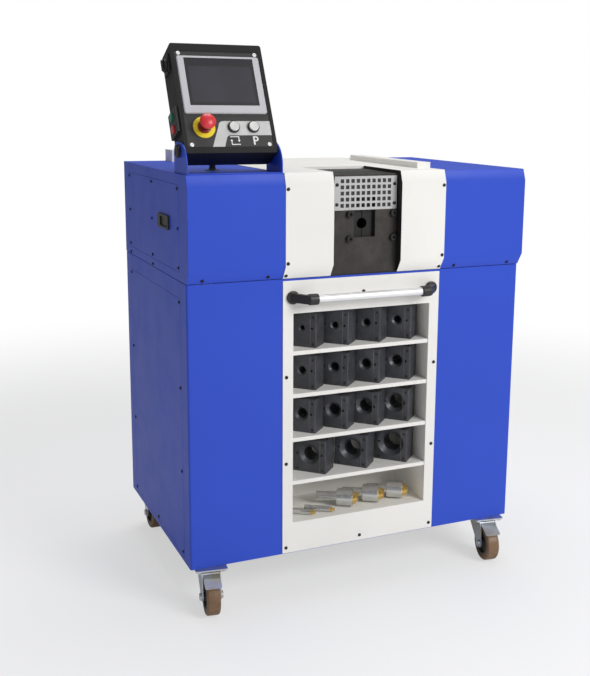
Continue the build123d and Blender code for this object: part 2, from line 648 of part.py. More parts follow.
def die(width, thickness, bore):
    """One clamping die: a block split through its bore, with locating pins beside it and bevelled edges."""
    body = Box(width, thickness, DIE_HEIGHT, align=(Align.CENTER, Align.CENTER, Align.MIN))
    body = chamfer(body.edges().filter_by(Axis.Z), DIE_EDGE)
    centre = DIE_HEIGHT * DIE_BORE_SHARE
    front = -thickness / 2
    body = body - rod_y(0, -thickness, thickness, centre, bore)
    mouth = Pos(0, front + bore / 4, centre) * Rot(90, 0, 0) * Cone(bore, bore * DIE_MOUTH_FLARE, bore / 2)
    body = body - mouth
    for side in (-1, 1):
        x = side * (width / 2 - DIE_PIN_INSET)
        body = body - rod_y(x, front, front + DIE_PIN_DEPTH, centre, DIE_PIN_RADIUS)
    return body


def die_row(row):
    """The dies of one shelf, counted from the top, standing in echelon."""
    bores = DIE_BORES[row]
    large = len(bores) < len(DIE_BORES[0])
    width = LARGE_DIE_WIDTH if large else SMALL_DIE_WIDTH
    thickness = LARGE_DIE_THICKNESS if large else SMALL_DIE_THICKNESS
    pitch = LARGE_DIE_PITCH if large else SMALL_DIE_PITCH
    turn = radians(DIE_TURN)
    half_depth = (width * sin(turn) + thickness * cos(turn)) / 2
    half_span = (width * cos(turn) + thickness * sin(turn)) / 2
    z = shelf_tops()[len(DIE_BORES) - row]
    y = DIE_FRONT_MARGIN + half_depth
    last = RACK_OPENING_WIDTH / 2 - half_span - DIE_END_GAP
    dies = []
    for place, bore in enumerate(bores):
        x = last - (len(bores) - 1 - place) * pitch
        dies.append(Pos(x, y, z) * Rot(0, 0, -DIE_TURN) * die(width, thickness, bore))
    return dies


def mandrel_place(tip_x, tip_y, radius):
    """Frame of a mandrel lying on the rack floor: its axis runs along local +X to the tip at the origin."""
    floor = FLOOR_TO_BOTTOM + RACK_OPENING_BOTTOM
    return Pos(tip_x, tip_y, floor + radius) * Rot(0, 0, -MANDREL_TURN)


def mandrels():
    """Steel bodies: two slender tapered ones and three drums with a shank."""
    bodies = []
    for x, y in SLENDER_TIPS:
        shape = rod_x(-SLENDER_LENGTH, -BRASS_LENGTH, 0, 0, SLENDER_RADIUS)
        for groove in range(GROOVES):
            at = -BRASS_LENGTH - (groove + 1) * GROOVE_PITCH
            ring = rod_x(at, at + GROOVE_WIDTH, 0, 0, SLENDER_RADIUS + OVERRUN)
            shape = shape - (ring - rod_x(at, at + GROOVE_WIDTH, 0, 0, SLENDER_RADIUS - GROOVE_DEPTH))
        bodies.append(mandrel_place(x, y, SLENDER_RADIUS) * shape)
    for x, y in DRUM_TIPS:
        end = -BRASS_LENGTH - DRUM_LENGTH
        shape = chamfer(rod_x(end, -BRASS_LENGTH, 0, 0, DRUM_RADIUS).edges(), DRUM_EDGE)
        shape = shape + rod_x(end - SHANK_LENGTH, end, 0, 0, SHANK_RADIUS)
        bodies.append(mandrel_place(x, y, DRUM_RADIUS) * shape)
    return bodies


def mandrel_tips():
    """Brass forming tips of the mandrels: a flange and a nose."""
    tips = []
    places = [(x, y, SLENDER_RADIUS, SLENDER_BRASS_RADIUS) for x, y in SLENDER_TIPS]
    places += [(x, y, DRUM_RADIUS, BRASS_RADIUS) for x, y in DRUM_TIPS]
    for x, y, height, radius in places:
        flange = rod_x(-BRASS_LENGTH, -BRASS_LENGTH / 2, 0, 0, radius)
        nose = rod_x(-BRASS_LENGTH / 2, 0, 0, 0, radius * BRASS_NOSE_SHARE)
        tips.append(mandrel_place(x, y, height) * (flange + nose))
    return tips


# ---- push handle -----------------------------------------------------------------------------------------
def handle_end(side):
    """Moulded end of the push handle: round foot, arm swept forward and inward, collar round the bar."""
    z = FLOOR_TO_BOTTOM + HANDLE_CENTRE_Z
    foot = rod_y(side * HANDLE_BASE_X, -SHEET - HANDLE_BASE_THICKNESS, -SHEET, z, HANDLE_BASE_RADIUS)
    radius = HANDLE_BAR_RADIUS + HANDLE_COLLAR_WALL
    x0, x1 = x_range(side, HANDLE_BAR_HALF - HANDLE_COLLAR_LENGTH, HANDLE_BAR_HALF + HANDLE_COLLAR_WALL)
    y = -SHEET - HANDLE_STAND_OFF
    collar = rod_x(x0, x1, y, z, radius)
    outer = HANDLE_BASE_X + HANDLE_BASE_RADIUS * HANDLE_ARM_FOOT
    inner = HANDLE_BASE_X - HANDLE_BASE_RADIUS * HANDLE_ARM_FOOT
    end = HANDLE_BAR_HALF + HANDLE_COLLAR_WALL
    corners = (
        (side * outer, -SHEET - HANDLE_BASE_THICKNESS / 2),
        (side * outer, -SHEET - HANDLE_BASE_THICKNESS),
        (side * (end + HANDLE_ELBOW), y - radius * 0.5),
        (side * (end - HANDLE_ELBOW / 4), y - radius * 0.9),
        (side * (end - HANDLE_ELBOW / 4), y + radius * 0.6),
        (side * inner, -SHEET - HANDLE_BASE_THICKNESS),
        (side * inner, -SHEET - HANDLE_BASE_THICKNESS / 2),
    )
    arm_half = radius * HANDLE_ARM_HEIGHT
    web = Pos(0, 0, z - arm_half) * extrude(make_face(Polyline(*corners, close=True)), 2 * arm_half)
    bar_x0, bar_x1 = x_range(side, 0, HANDLE_BAR_HALF)
    return foot + collar + web - rod_x(bar_x0, bar_x1, y, z, HANDLE_BAR_RADIUS)


def handle_bar():
    y, z = -SHEET - HANDLE_STAND_OFF, FLOOR_TO_BOTTOM + HANDLE_CENTRE_Z
    return rod_x(-HANDLE_BAR_HALF, HANDLE_BAR_HALF, y, z, HANDLE_BAR_RADIUS)


# ---- clamping head ---------------------------------------------------------------------------------------
def head_front_plate():
    half = HALF_RECESS - CONTACT_GAP
    plate = block(-half, half, HEAD_SET_BACK, HEAD_BODY_Y, SEAM_Z, HEAD_TOP_Z)
    low, high = SEAM_Z + APERTURE_BOTTOM, SEAM_Z + APERTURE_TOP
    return plate - block(APERTURE_LEFT, APERTURE_RIGHT, 0, HEAD_BODY_Y + OVERRUN, low, high)


def head_frame():
    """Press frame: a block open on top, with bores for the clamping rod and the forming rod."""
    z0 = SEAM_Z + HEAD_FRAME_BOTTOM
    frame = block(-FRAME_HALF, FRAME_HALF, HEAD_BODY_Y, NOTCH_END_Y, z0, HEAD_TOP_Z)
    right = CHAMBER_RIGHT + JAW_TRAVEL + CONTACT_GAP
    front, floor, top = HEAD_BODY_Y - OVERRUN, SEAM_Z + CHAMBER_FLOOR, HEAD_TOP_Z + OVERRUN
    frame = frame - block(CHAMBER_LEFT, right, front, JAW_BACK_Y, floor, top)
    frame = frame - rod_x(right - OVERRUN, FRAME_HALF + OVERRUN, jaw_centre_y(), TUBE_Z, ROD_BORE)
    return frame - rod_y(0, JAW_BACK_Y - OVERRUN, NOTCH_END_Y + OVERRUN, TUBE_Z, ROD_BORE)


def jaw_centre_y():
    return (HEAD_BODY_Y + JAW_BACK_Y) / 2


def jaw(side):
    """One clamping jaw with half of the round tube seat; the left one is fixed, the right one moves."""
    far = -CHAMBER_LEFT if side < 0 else CHAMBER_RIGHT
    x0, x1 = x_range(side, JAW_GAP / 2, far)
    y0, y1 = HEAD_BODY_Y + CONTACT_GAP, JAW_BACK_Y - CONTACT_GAP
    floor = SEAM_Z + CHAMBER_FLOOR + (CONTACT_GAP if side > 0 else 0)
    body = block(x0, x1, y0, y1, floor, HEAD_TOP_Z)
    return body - rod_y(0, y0 - OVERRUN, y1 + OVERRUN, TUBE_Z, JAW_SEAT_RADIUS)


def clamp_piston():
    start = FRAME_HALF + CYLINDER_WALL + PISTON_REST_GAP
    rod = rod_x(CHAMBER_RIGHT, start, jaw_centre_y(), TUBE_Z, ROD_RADIUS)
    bore = CYLINDER_BORE - RUNNING_CLEARANCE
    return rod + rod_x(start, start + PISTON_LENGTH, jaw_centre_y(), TUBE_Z, bore)


def clamp_cylinder():
    x0, x1 = FRAME_HALF, FRAME_HALF + CLAMP_CYLINDER_LENGTH
    y = jaw_centre_y()
    body = rod_x(x0, x1, y, TUBE_Z, CYLINDER_RADIUS)
    body = body - rod_x(x0 + CYLINDER_WALL, x1 - CYLINDER_WALL, y, TUBE_Z, CYLINDER_BORE)
    return body - rod_x(x0 - OVERRUN, x0 + CYLINDER_WALL + OVERRUN, y, TUBE_Z, ROD_BORE)


def forming_cylinder():
    y0, y1 = NOTCH_END_Y, NOTCH_END_Y + FORMING_CYLINDER_LENGTH
    body = rod_y(0, y0, y1, TUBE_Z, CYLINDER_RADIUS)
    body = body - rod_y(0, y0 + CYLINDER_WALL, y1 - CYLINDER_WALL, TUBE_Z, CYLINDER_BORE)
    return body - rod_y(0, y0 - OVERRUN, y0 + CYLINDER_WALL + OVERRUN, TUBE_Z, ROD_BORE)


def forming_piston():
    """Piston, rod and the steel nose that is pushed into the clamped tube."""
    rod_front = JAW_BACK_Y + FORMING_TRAVEL + NOSE_REST_GAP
    piston_back = NOTCH_END_Y + FORMING_CYLINDER_LENGTH - CYLINDER_WALL - PISTON_REST_GAP
    piston_front = piston_back - PISTON_LENGTH
    ram = rod_y(0, rod_front, piston_front, TUBE_Z, ROD_RADIUS)
    ram = ram + rod_y(0, piston_front, piston_back, TUBE_Z, CYLINDER_BORE - RUNNING_CLEARANCE)
    return ram + rod_y(0, rod_front - MANDREL_NOSE_LENGTH, rod_front, TUBE_Z, MANDREL_NOSE_RADIUS)


def guard_plate():
    """Perforated guard in front of the clamping jaws."""
    z0 = SEAM_Z + GUARD_BOTTOM
    half = GUARD_WIDTH / 2
    y0, y1 = HEAD_SET_BACK - GUARD_THICKNESS, HEAD_SET_BACK
    plate = block(GUARD_CENTRE_X - half, GUARD_CENTRE_X + half, y0, y1, z0, z0 + GUARD_HEIGHT)
    cutter = Box(GUARD_HOLE, 4 * GUARD_THICKNESS, GUARD_HOLE)
    holes = [
        Pos(GUARD_CENTRE_X + (column - (GUARD_COLUMNS - 1) / 2) * GUARD_PITCH_X, HEAD_SET_BACK,
            z0 + GUARD_HEIGHT / 2 + (row - (GUARD_ROWS - 1) / 2) * GUARD_PITCH_Z) * cutter
        for column in range(GUARD_COLUMNS)
        for row in range(GUARD_ROWS)
    ]
    return plate - holes


def head_screws():
    """Four large socket-head screws of the front plate."""
    screws = []
    for x in HEAD_SCREW_X:
        for z in HEAD_SCREW_Z:
            head = rod_y(x, HEAD_SET_BACK - HEAD_SCREW_HEAD, HEAD_SET_BACK, SEAM_Z + z, HEAD_SCREW_RADIUS)
            hexagon = extrude(RegularPolygon(HEAD_SCREW_RADIUS / 2, 6), -HEAD_SCREW_HEAD / 2)
            socket = Pos(x, HEAD_SET_BACK - HEAD_SCREW_HEAD, SEAM_Z + z) * Rot(90, 0, 0) * hexagon
            screws.append(head - socket)
    return screws


# ---- control panel, in its own frame: X right, -Y out of the face, Z up the face -------------------------
def panel_enclosure():
    """Cast housing: rounded box, pocket for the front plate, holes in the left side and the back."""
    half = PANEL_WIDTH / 2
    wall = PANEL_POCKET
    shell = block(-half, half, 0, PANEL_THICKNESS, 0, PANEL_HEIGHT)
    shell = fillet(shell.edges().filter_by(Axis.Y), CORNER_RADIUS)
    inner, back = half - wall, PANEL_THICKNESS - wall
    shell = shell - block(-inner, inner, 2 * wall, back, wall, PANEL_HEIGHT - wall)
    rim = half - PANEL_RIM_SIDE
    shell = shell - block(-rim, rim, -OVERRUN, PANEL_POCKET, PANEL_RIM_BOTTOM, PANEL_HEIGHT - PANEL_RIM_TOP)
    ledge = rim - PANEL_RIM_SIDE
    low, high = PANEL_RIM_BOTTOM + PANEL_RIM_SIDE, PANEL_HEIGHT - PANEL_RIM_TOP - PANEL_RIM_SIDE
    shell = shell - block(-ledge, ledge, 0, 3 * wall, low, high)
    for side in (-1, 1):
        x0, x1 = x_range(side, half - 2 * wall, half + OVERRUN)
        shell = shell - rod_x(x0, x1, PIVOT_DEPTH, PIVOT_HEIGHT, PIVOT_RADIUS + RUNNING_CLEARANCE)
    return shell


def panel_front_plate():
    half = PANEL_WIDTH / 2 - PANEL_RIM_SIDE
    z1 = PANEL_HEIGHT - PANEL_RIM_TOP
    plate = block(-half, half, PLATE_Y, PLATE_BACK_Y, PANEL_RIM_BOTTOM, z1)
    y0, y1 = PLATE_Y - OVERRUN, PLATE_BACK_Y + OVERRUN
    plate = plate - rod_y(STOP_X, y0, y1, CONTROL_ROW_Z, STOP_THREAD_RADIUS)
    for x in BUTTON_X:
        plate = plate - rod_y(x, y0, y1, CONTROL_ROW_Z, BEZEL_THREAD_RADIUS)
    inner = SCREEN_UNIT_WIDTH / 2 - PANEL_RIM_SIDE
    low, high = SCREEN_UNIT_BOTTOM + PANEL_RIM_SIDE, SCREEN_UNIT_BOTTOM + SCREEN_UNIT_HEIGHT - PANEL_RIM_SIDE
    return plate - block(-inner, inner, y0, y1, low, high)


def screen_bezel():
    """Frame of the operator screen: bevelled front, body reaching through the plate."""
    half = SCREEN_UNIT_WIDTH / 2
    z0, z1 = SCREEN_UNIT_BOTTOM, SCREEN_UNIT_BOTTOM + SCREEN_UNIT_HEIGHT
    front = PLATE_Y - SCREEN_UNIT_PROUD
    frame = block(-half, half, front, PLATE_Y, z0, z1)
    frame = fillet(frame.edges().filter_by(Axis.Y), CORNER_RADIUS)
    frame = chamfer(frame.faces().sort_by(Axis.Y)[0].edges(), SHEET)
    inner = half - PANEL_RIM_SIDE
    back = PLATE_BACK_Y + SCREEN_BODY_DEPTH
    body = block(-inner, inner, PLATE_Y, back, z0 + PANEL_RIM_SIDE, z1 - PANEL_RIM_SIDE)
    glass, floor = GLASS_WIDTH / 2, front + GLASS_DEPTH + GLASS_THICKNESS
    pocket = block(-glass, glass, front - OVERRUN, floor, GLASS_BOTTOM, GLASS_BOTTOM + GLASS_HEIGHT)
    return frame + body - pocket


def screen_glass():
    half = GLASS_WIDTH / 2
    y0 = PLATE_Y - SCREEN_UNIT_PROUD + GLASS_DEPTH
    return block(-half, half, y0, y0 + GLASS_THICKNESS, GLASS_BOTTOM, GLASS_BOTTOM + GLASS_HEIGHT)


def stop_ring():
    """Legend ring, collar and threaded barrel of the stop button."""
    ring = rod_y(STOP_X, PLATE_Y - STOP_RING_THICKNESS, PLATE_Y, CONTROL_ROW_Z, STOP_RING_RADIUS)
    collar_top = PLATE_Y - STOP_COLLAR_HEIGHT
    collar = rod_y(STOP_X, collar_top, PLATE_Y, CONTROL_ROW_Z, STOP_COLLAR_RADIUS)
    barrel = rod_y(STOP_X, PLATE_Y, THREAD_END_Y, CONTROL_ROW_Z, STOP_THREAD_RADIUS)
    bore = STOP_STEM_RADIUS + RUNNING_CLEARANCE
    hole = rod_y(STOP_X, collar_top - OVERRUN, THREAD_END_Y + OVERRUN, CONTROL_ROW_Z, bore)
    return ring + collar + barrel - hole


def stop_stem():
    """Plunger of the stop button with the spigot that the mushroom head turns on."""
    head_back = PLATE_Y - STOP_HEAD_STAND + STOP_HEAD_THICKNESS
    stem = rod_y(STOP_X, head_back + CONTACT_GAP, THREAD_END_Y, CONTROL_ROW_Z, STOP_STEM_RADIUS)
    start = head_back + CONTACT_GAP - STOP_SPIGOT_LENGTH
    return stem + rod_y(STOP_X, start, head_back + OVERRUN, CONTROL_ROW_Z, STOP_SPIGOT_RADIUS)


def stop_head():
    """Mushroom head: domed front, waisted flank, blind bore for the spigot."""
    front = PLATE_Y - STOP_HEAD_STAND
    back = front + STOP_HEAD_THICKNESS
    head = rod_y(STOP_X, front, back, CONTROL_ROW_Z, STOP_HEAD_RADIUS)
    head = fillet(head.faces().sort_by(Axis.Y)[0].edges(), STOP_HEAD_THICKNESS / 3)
    head = chamfer(head.faces().sort_by(Axis.Y)[-1].edges(), STOP_HEAD_RADIUS - STOP_COLLAR_RADIUS)
    bore = STOP_SPIGOT_RADIUS + RUNNING_CLEARANCE
    return head - rod_y(STOP_X, back - STOP_SPIGOT_LENGTH, back + OVERRUN, CONTROL_ROW_Z, bore)


def button_bezel(x):
    """Ring round a push button, with its threaded barrel through the plate."""
    top = PLATE_Y - BEZEL_HEIGHT
    ring = rod_y(x, top, PLATE_Y, CONTROL_ROW_Z, BEZEL_RADIUS)
    ring = chamfer(ring.faces().sort_by(Axis.Y)[0].edges(), EDGE_BREAK)
    barrel = rod_y(x, PLATE_Y, THREAD_END_Y, CONTROL_ROW_Z, BEZEL_THREAD_RADIUS)
    cup = rod_y(x, top - OVERRUN, PLATE_Y, CONTROL_ROW_Z, CAP_RADIUS + CONTACT_GAP)
    shank = CAP_SHANK_RADIUS + RUNNING_CLEARANCE
    return ring + barrel - cup - rod_y(x, PLATE_Y - OVERRUN, THREAD_END_Y + OVERRUN, CONTROL_ROW_Z, shank)


def button_cap(x):
    """Round cap with the shank that slides in the bezel's barrel."""
    cap_back = PLATE_Y - BUTTON_TRAVEL - CONTACT_GAP
    cap = rod_y(x, CAP_TOP_Y, cap_back, CONTROL_ROW_Z, CAP_RADIUS)
    cap = fillet(cap.faces().sort_by(Axis.Y)[0].edges(), EDGE_BREAK)
    return cap + rod_y(x, cap_back, cap_back + CAP_SHANK_LENGTH, CONTROL_ROW_Z, CAP_SHANK_RADIUS)


def side_button_z(row):
    """Height of a side button: row 1 is the upper one, row -1 the lower one."""
    return STATION_BOTTOM + STATION_HEIGHT / 2 + row * SIDE_BUTTON_SPACING / 2


def side_station():
    """Housing of the two side buttons on the left side of the panel."""
    x1 = -PANEL_WIDTH / 2
    x0 = x1 - STATION_THICKNESS
    y0, y1 = STATION_CENTRE_Y - STATION_DEPTH / 2, STATION_CENTRE_Y + STATION_DEPTH / 2
    body = block(x0, x1, y0, y1, STATION_BOTTOM, STATION_BOTTOM + STATION_HEIGHT)
    body = fillet(body.edges().filter_by(Axis.X), CORNER_RADIUS / 2)
    body = chamfer(body.faces().sort_by(Axis.X)[0].edges(), EDGE_BREAK)
    for row in (-1, 1):
        radius = SIDE_BUTTON_RADIUS + CONTACT_GAP
        body = body - rod_x(x0 - OVERRUN, x1 - STATION_FLOOR, STATION_CENTRE_Y, side_button_z(row), radius)
    return body


def side_button(row):
    x0 = -PANEL_WIDTH / 2 - STATION_THICKNESS - SIDE_BUTTON_PROUD
    body = rod_x(x0, x0 + SIDE_BUTTON_LENGTH, STATION_CENTRE_Y, side_button_z(row), SIDE_BUTTON_RADIUS)
    return fillet(body.faces().sort_by(Axis.X)[0].edges(), EDGE_BREAK)


def main_switch_base():
    x1 = -PANEL_WIDTH / 2
    half = SWITCH_SIZE / 2
    y0, y1 = STATION_CENTRE_Y - half, STATION_CENTRE_Y + half
    base = block(x1 - SWITCH_BASE_THICKNESS, x1, y0, y1, SWITCH_CENTRE_Z - half, SWITCH_CENTRE_Z + half)
    base = fillet(base.edges().filter_by(Axis.X), CORNER_RADIUS / 2)
    bore = SWITCH_SPINDLE_RADIUS + RUNNING_CLEARANCE
    x0 = x1 - SWITCH_BASE_THICKNESS
    return base - rod_x(x0 - OVERRUN, x1 + OVERRUN, STATION_CENTRE_Y, SWITCH_CENTRE_Z, bore)


def main_switch_knob():
    """Rotary knob: disc, raised grip bar and spindle."""
    x1 = -PANEL_WIDTH / 2 - SWITCH_BASE_THICKNESS - CONTACT_GAP
    x0 = x1 - SWITCH_KNOB_HEIGHT
    knob = rod_x(x0, x1, STATION_CENTRE_Y, SWITCH_CENTRE_Z, SWITCH_KNOB_RADIUS)
    knob = chamfer(knob.faces().sort_by(Axis.X)[0].edges(), EDGE_BREAK)
    half = SWITCH_GRIP_WIDTH / 2
    y0, y1 = STATION_CENTRE_Y - half, STATION_CENTRE_Y + half
    reach = SWITCH_KNOB_RADIUS - SWITCH_GRIP_INSET
    grip = block(x0 - SWITCH_GRIP_HEIGHT, x0, y0, y1, SWITCH_CENTRE_Z - reach, SWITCH_CENTRE_Z + reach)
    grip = fillet(grip.edges().filter_by(Axis.X), half - SWITCH_GRIP_FLAT)
    spindle_end = -PANEL_WIDTH / 2
    return knob + grip + rod_x(x1, spindle_end, STATION_CENTRE_Y, SWITCH_CENTRE_Z, SWITCH_SPINDLE_RADIUS)


def panel_gland():
    """Cable gland on the back of the enclosure."""
    x = CABLE_X - PANEL_CENTRE_X
    y0, y1 = PANEL_THICKNESS, PANEL_THICKNESS + GLAND_LENGTH
    nut_end = y0 + GLAND_LENGTH * GLAND_NUT_SHARE
    hexagon = extrude(RegularPolygon(GLAND_RADIUS, 6), nut_end - y0)
    nut = Pos(x, nut_end, PANEL_GLAND_HEIGHT) * Rot(90, 0, 0) * hexagon
    return nut + rod_y(x, nut_end, y1, PANEL_GLAND_HEIGHT, GLAND_RADIUS * GLAND_DOME_SHARE)


# ---- panel bracket, pivot bolts, cable -------------------------------------------------------------------
def panel_bracket():
    """Folded sheet yoke on the cabinet top that the panel tilts in."""
    half = PANEL_WIDTH / 2 + BRACKET_SIDE_GAP
    y0, y1 = BRACKET_FRONT_Y, BRACKET_FRONT_Y + BRACKET_DEPTH
    x0, x1 = PANEL_CENTRE_X - half - BRACKET_SHEET, PANEL_CENTRE_X + half + BRACKET_SHEET
    yoke = block(x0, x1, y0, y1, TOP_Z, TOP_Z + BRACKET_HEIGHT)
    front_top = yoke.edges().filter_by(Axis.X).group_by(Axis.Z)[-1].sort_by(Axis.Y)
    yoke = fillet(front_top[0], BRACKET_CURVE)
    rear_top = yoke.edges().filter_by(Axis.X).group_by(Axis.Z)[-1].sort_by(Axis.Y)
    yoke = fillet(rear_top[-1], BRACKET_REAR_CURVE)
    inner_x0, inner_x1 = x0 + BRACKET_SHEET, x1 - BRACKET_SHEET
    low, high = TOP_Z + BRACKET_SHEET, TOP_Z + BRACKET_HEIGHT + OVERRUN
    yoke = yoke - block(inner_x0, inner_x1, y0 - OVERRUN, y1 + OVERRUN, low, high)
    pivot = pivot_point()
    return yoke - rod_x(x0 - OVERRUN, x1 + OVERRUN, pivot.Y, pivot.Z, PIVOT_RADIUS)


def pivot_point():
    return (PANEL_FRAME * Pos(0, PIVOT_DEPTH, PIVOT_HEIGHT)).position


def pivot_bolt(side):
    """Clamping knob of the panel: round grip outside the yoke, shank into the enclosure wall."""
    outer = PANEL_WIDTH / 2 + BRACKET_SIDE_GAP + BRACKET_SHEET
    pivot = pivot_point()
    knob_x0, knob_x1 = x_range(side, outer, outer + PIVOT_KNOB_LENGTH)
    shank_x0, shank_x1 = x_range(side, PANEL_WIDTH / 2 - PANEL_POCKET, outer)
    knob = rod_x(knob_x0, knob_x1, pivot.Y, pivot.Z, PIVOT_KNOB_RADIUS)
    knob = chamfer(knob.edges().filter_by(GeomType.CIRCLE), PIVOT_KNOB_EDGE)
    shank = rod_x(shank_x0, shank_x1, pivot.Y, pivot.Z, PIVOT_RADIUS)
    return Pos(PANEL_CENTRE_X, 0, 0) * (knob + shank)


def base_gland():
    nut_top = TOP_Z + BASE_GLAND_HEIGHT * GLAND_NUT_SHARE
    nut = Pos(CABLE_X, BASE_GLAND_Y, TOP_Z) * extrude(RegularPolygon(GLAND_RADIUS, 6), nut_top - TOP_Z)
    dome = GLAND_RADIUS * GLAND_DOME_SHARE
    return nut + rod_z(CABLE_X, BASE_GLAND_Y, nut_top, TOP_Z + BASE_GLAND_HEIGHT, dome)


def rounded_path(points):
    """Straight runs joined by tangent arcs, each as large as its two runs allow."""
    pieces = []
    start = points[0]
    for before, corner, after in zip(points, points[1:], points[2:]):
        run_in, run_out = corner - before, after - corner
        shorter = min(run_in.length, run_out.length) * CABLE_ARC_SHARE
        arc_start = corner - run_in.normalized() * shorter
        arc_end = corner + run_out.normalized() * shorter
        pieces.append(Line(start, arc_start))
        pieces.append(TangentArc(arc_start, arc_end, tangent=run_in.normalized()))
        start = arc_end
    pieces.append(Line(start, points[-1]))
    return Wire(pieces)


def panel_cable():
    gland_y = PANEL_THICKNESS + GLAND_LENGTH
    gland_end = PANEL_FRAME * Pos(CABLE_X - PANEL_CENTRE_X, gland_y, PANEL_GLAND_HEIGHT)
    first = (gland_end * Pos(0, CABLE_FIRST_RUN, 0)).position
    points = [gland_end.position, first] + [Vector(CABLE_X, y, TOP_Z + height) for y, height in CABLE_ROUTE]
    path = rounded_path(points)
    section = Plane(path @ 0, z_dir=path % 0) * Circle(CABLE_RADIUS)
    return sweep(section, path=path)


# ---- casters, in a frame with its origin under the swivel axis -------------------------------------------
def swivel_frame(side):
    return Pos(side * CASTER_X, CASTER_Y, 0) * Rot(0, 0, CASTER_SWING)


def rigid_frame(side):
    return Pos(side * CASTER_X, CABINET_DEPTH - CASTER_Y, 0)


def caster_plate():
    """Mounting plate with its four bolt heads below."""
    half_x, half_y = CASTER_PLATE_WIDTH / 2, CASTER_PLATE_LENGTH / 2
    z0 = CASTER_HEIGHT - CASTER_PLATE_THICKNESS
    plate = block(-half_x, half_x, -half_y, half_y, z0, CASTER_HEIGHT)
    plate = fillet(plate.edges().filter_by(Axis.Z), CORNER_RADIUS)
    for x in (-1, 1):
        for y in (-1, 1):
            centre_x, centre_y = x * (half_x - CASTER_BOLT_INSET), y * (half_y - CASTER_BOLT_INSET)
            plate = plate + rod_z(centre_x, centre_y, z0 - CASTER_BOLT_HEAD, z0, CASTER_BOLT_RADIUS)
    return plate


def front_caster_plate():
    """Plate, upper race and king pin of a swivel caster."""
    top = CASTER_HEIGHT - CASTER_PLATE_THICKNESS
    race = rod_z(0, 0, SWIVEL_HEAD_TOP_Z + CONTACT_GAP, top, RACE_RADIUS)
    return caster_plate() + race + rod_z(0, 0, FORK_BRIDGE_Z - FORK_SHEET, top, KINGPIN_RADIUS)


def fork_legs(outline):
    """The two pressed legs of a fork, from a (y, z) outline."""
    left = prism_x(outline, -LEG_OUTER, -LEG_INNER)
    return left + mirror(left, about=Plane.YZ)


def axle(y):
    end = LEG_OUTER + AXLE_NUT
    bolt = rod_x(-LEG_OUTER, LEG_OUTER, y, WHEEL_RADIUS, AXLE_RADIUS)
    for x0, x1 in ((-end, -LEG_OUTER), (LEG_OUTER, end)):
        bolt = bolt + rod_x(x0, x1, y, WHEEL_RADIUS, AXLE_NUT_RADIUS)
    return bolt


def swivel_fork():
    """Swivel fork: race cup, bridge, two slanted legs, pedal pin and axle."""
    bridge_bottom = FORK_BRIDGE_Z - FORK_SHEET
    trail, eye = -CASTER_TRAIL, AXLE_RADIUS * 2
    outline = (
        (FORK_HALF_DEPTH, FORK_BRIDGE_Z),
        (FORK_HALF_DEPTH, bridge_bottom - FORK_SHOULDER),
        (trail + eye, WHEEL_RADIUS - eye / 2),
        (trail + eye / 2, WHEEL_RADIUS - eye),
        (trail - eye / 2, WHEEL_RADIUS - eye),
        (trail - eye, WHEEL_RADIUS - eye / 2),
        (trail - eye, WHEEL_RADIUS + eye),
        (PEDAL_PIN_Y - 2 * PEDAL_BARREL_RADIUS, FORK_BRIDGE_Z),
        (PEDAL_PIN_Y - PEDAL_BARREL_RADIUS, PEDAL_PIN_Z + PEDAL_BARREL_RADIUS),
        (PEDAL_PIN_Y + PEDAL_BARREL_RADIUS, PEDAL_PIN_Z + PEDAL_BARREL_RADIUS),
        (PEDAL_PIN_Y + 2 * PEDAL_BARREL_RADIUS, FORK_BRIDGE_Z),
    )
    front = PEDAL_PIN_Y - FORK_BRIDGE_LEAD
    bridge = block(-LEG_OUTER, LEG_OUTER, front, FORK_HALF_DEPTH, bridge_bottom, FORK_BRIDGE_Z)
    fork = fork_legs(outline) + bridge
    cup = rod_z(0, 0, bridge_bottom, SWIVEL_HEAD_TOP_Z, SWIVEL_HEAD_RADIUS)
    bore = KINGPIN_RADIUS + RUNNING_CLEARANCE
    fork = fork + cup - rod_z(0, 0, bridge_bottom - OVERRUN, SWIVEL_HEAD_TOP_Z + OVERRUN, bore)
    fork = fork + rod_x(-LEG_OUTER, LEG_OUTER, PEDAL_PIN_Y, PEDAL_PIN_Z, PEDAL_PIN_RADIUS)
    return fork + axle(trail)


def brake_pedal():
    """Foot pedal: barrel on the pin and a sloping pressed plate with a turned-down end."""
    half = PEDAL_WIDTH / 2
    plate = block(-half, half, -PEDAL_LENGTH, 0, -PEDAL_SHEET / 2, PEDAL_SHEET / 2)
    plate = fillet(plate.edges().filter_by(Axis.Z).group_by(Axis.Y)[0], CORNER_RADIUS)
    plate = Pos(0, PEDAL_PIN_Y, PEDAL_PIN_Z) * Rot(PEDAL_SLOPE, 0, 0) * plate
    barrel = rod_x(-half, half, PEDAL_PIN_Y, PEDAL_PIN_Z, PEDAL_BARREL_RADIUS)
    hole = PEDAL_PIN_RADIUS + RUNNING_CLEARANCE
    return plate + barrel - rod_x(-half - OVERRUN, half + OVERRUN, PEDAL_PIN_Y, PEDAL_PIN_Z, hole)


def rigid_fork():
    """Fixed fork: two legs that widen to the mounting plate."""
    eye = AXLE_RADIUS * 2
    top = CASTER_HEIGHT - CASTER_PLATE_THICKNESS
    outline = (
        (FORK_HALF_DEPTH, top),
        (FORK_HALF_DEPTH, FORK_BRIDGE_Z),
        (eye, WHEEL_RADIUS - eye / 2),
        (eye / 2, WHEEL_RADIUS - eye),
        (-eye / 2, WHEEL_RADIUS - eye),
        (-eye, WHEEL_RADIUS - eye / 2),
        (-FORK_HALF_DEPTH, FORK_BRIDGE_Z),
        (-FORK_HALF_DEPTH, top),
    )
    return caster_plate() + fork_legs(outline) + axle(0)


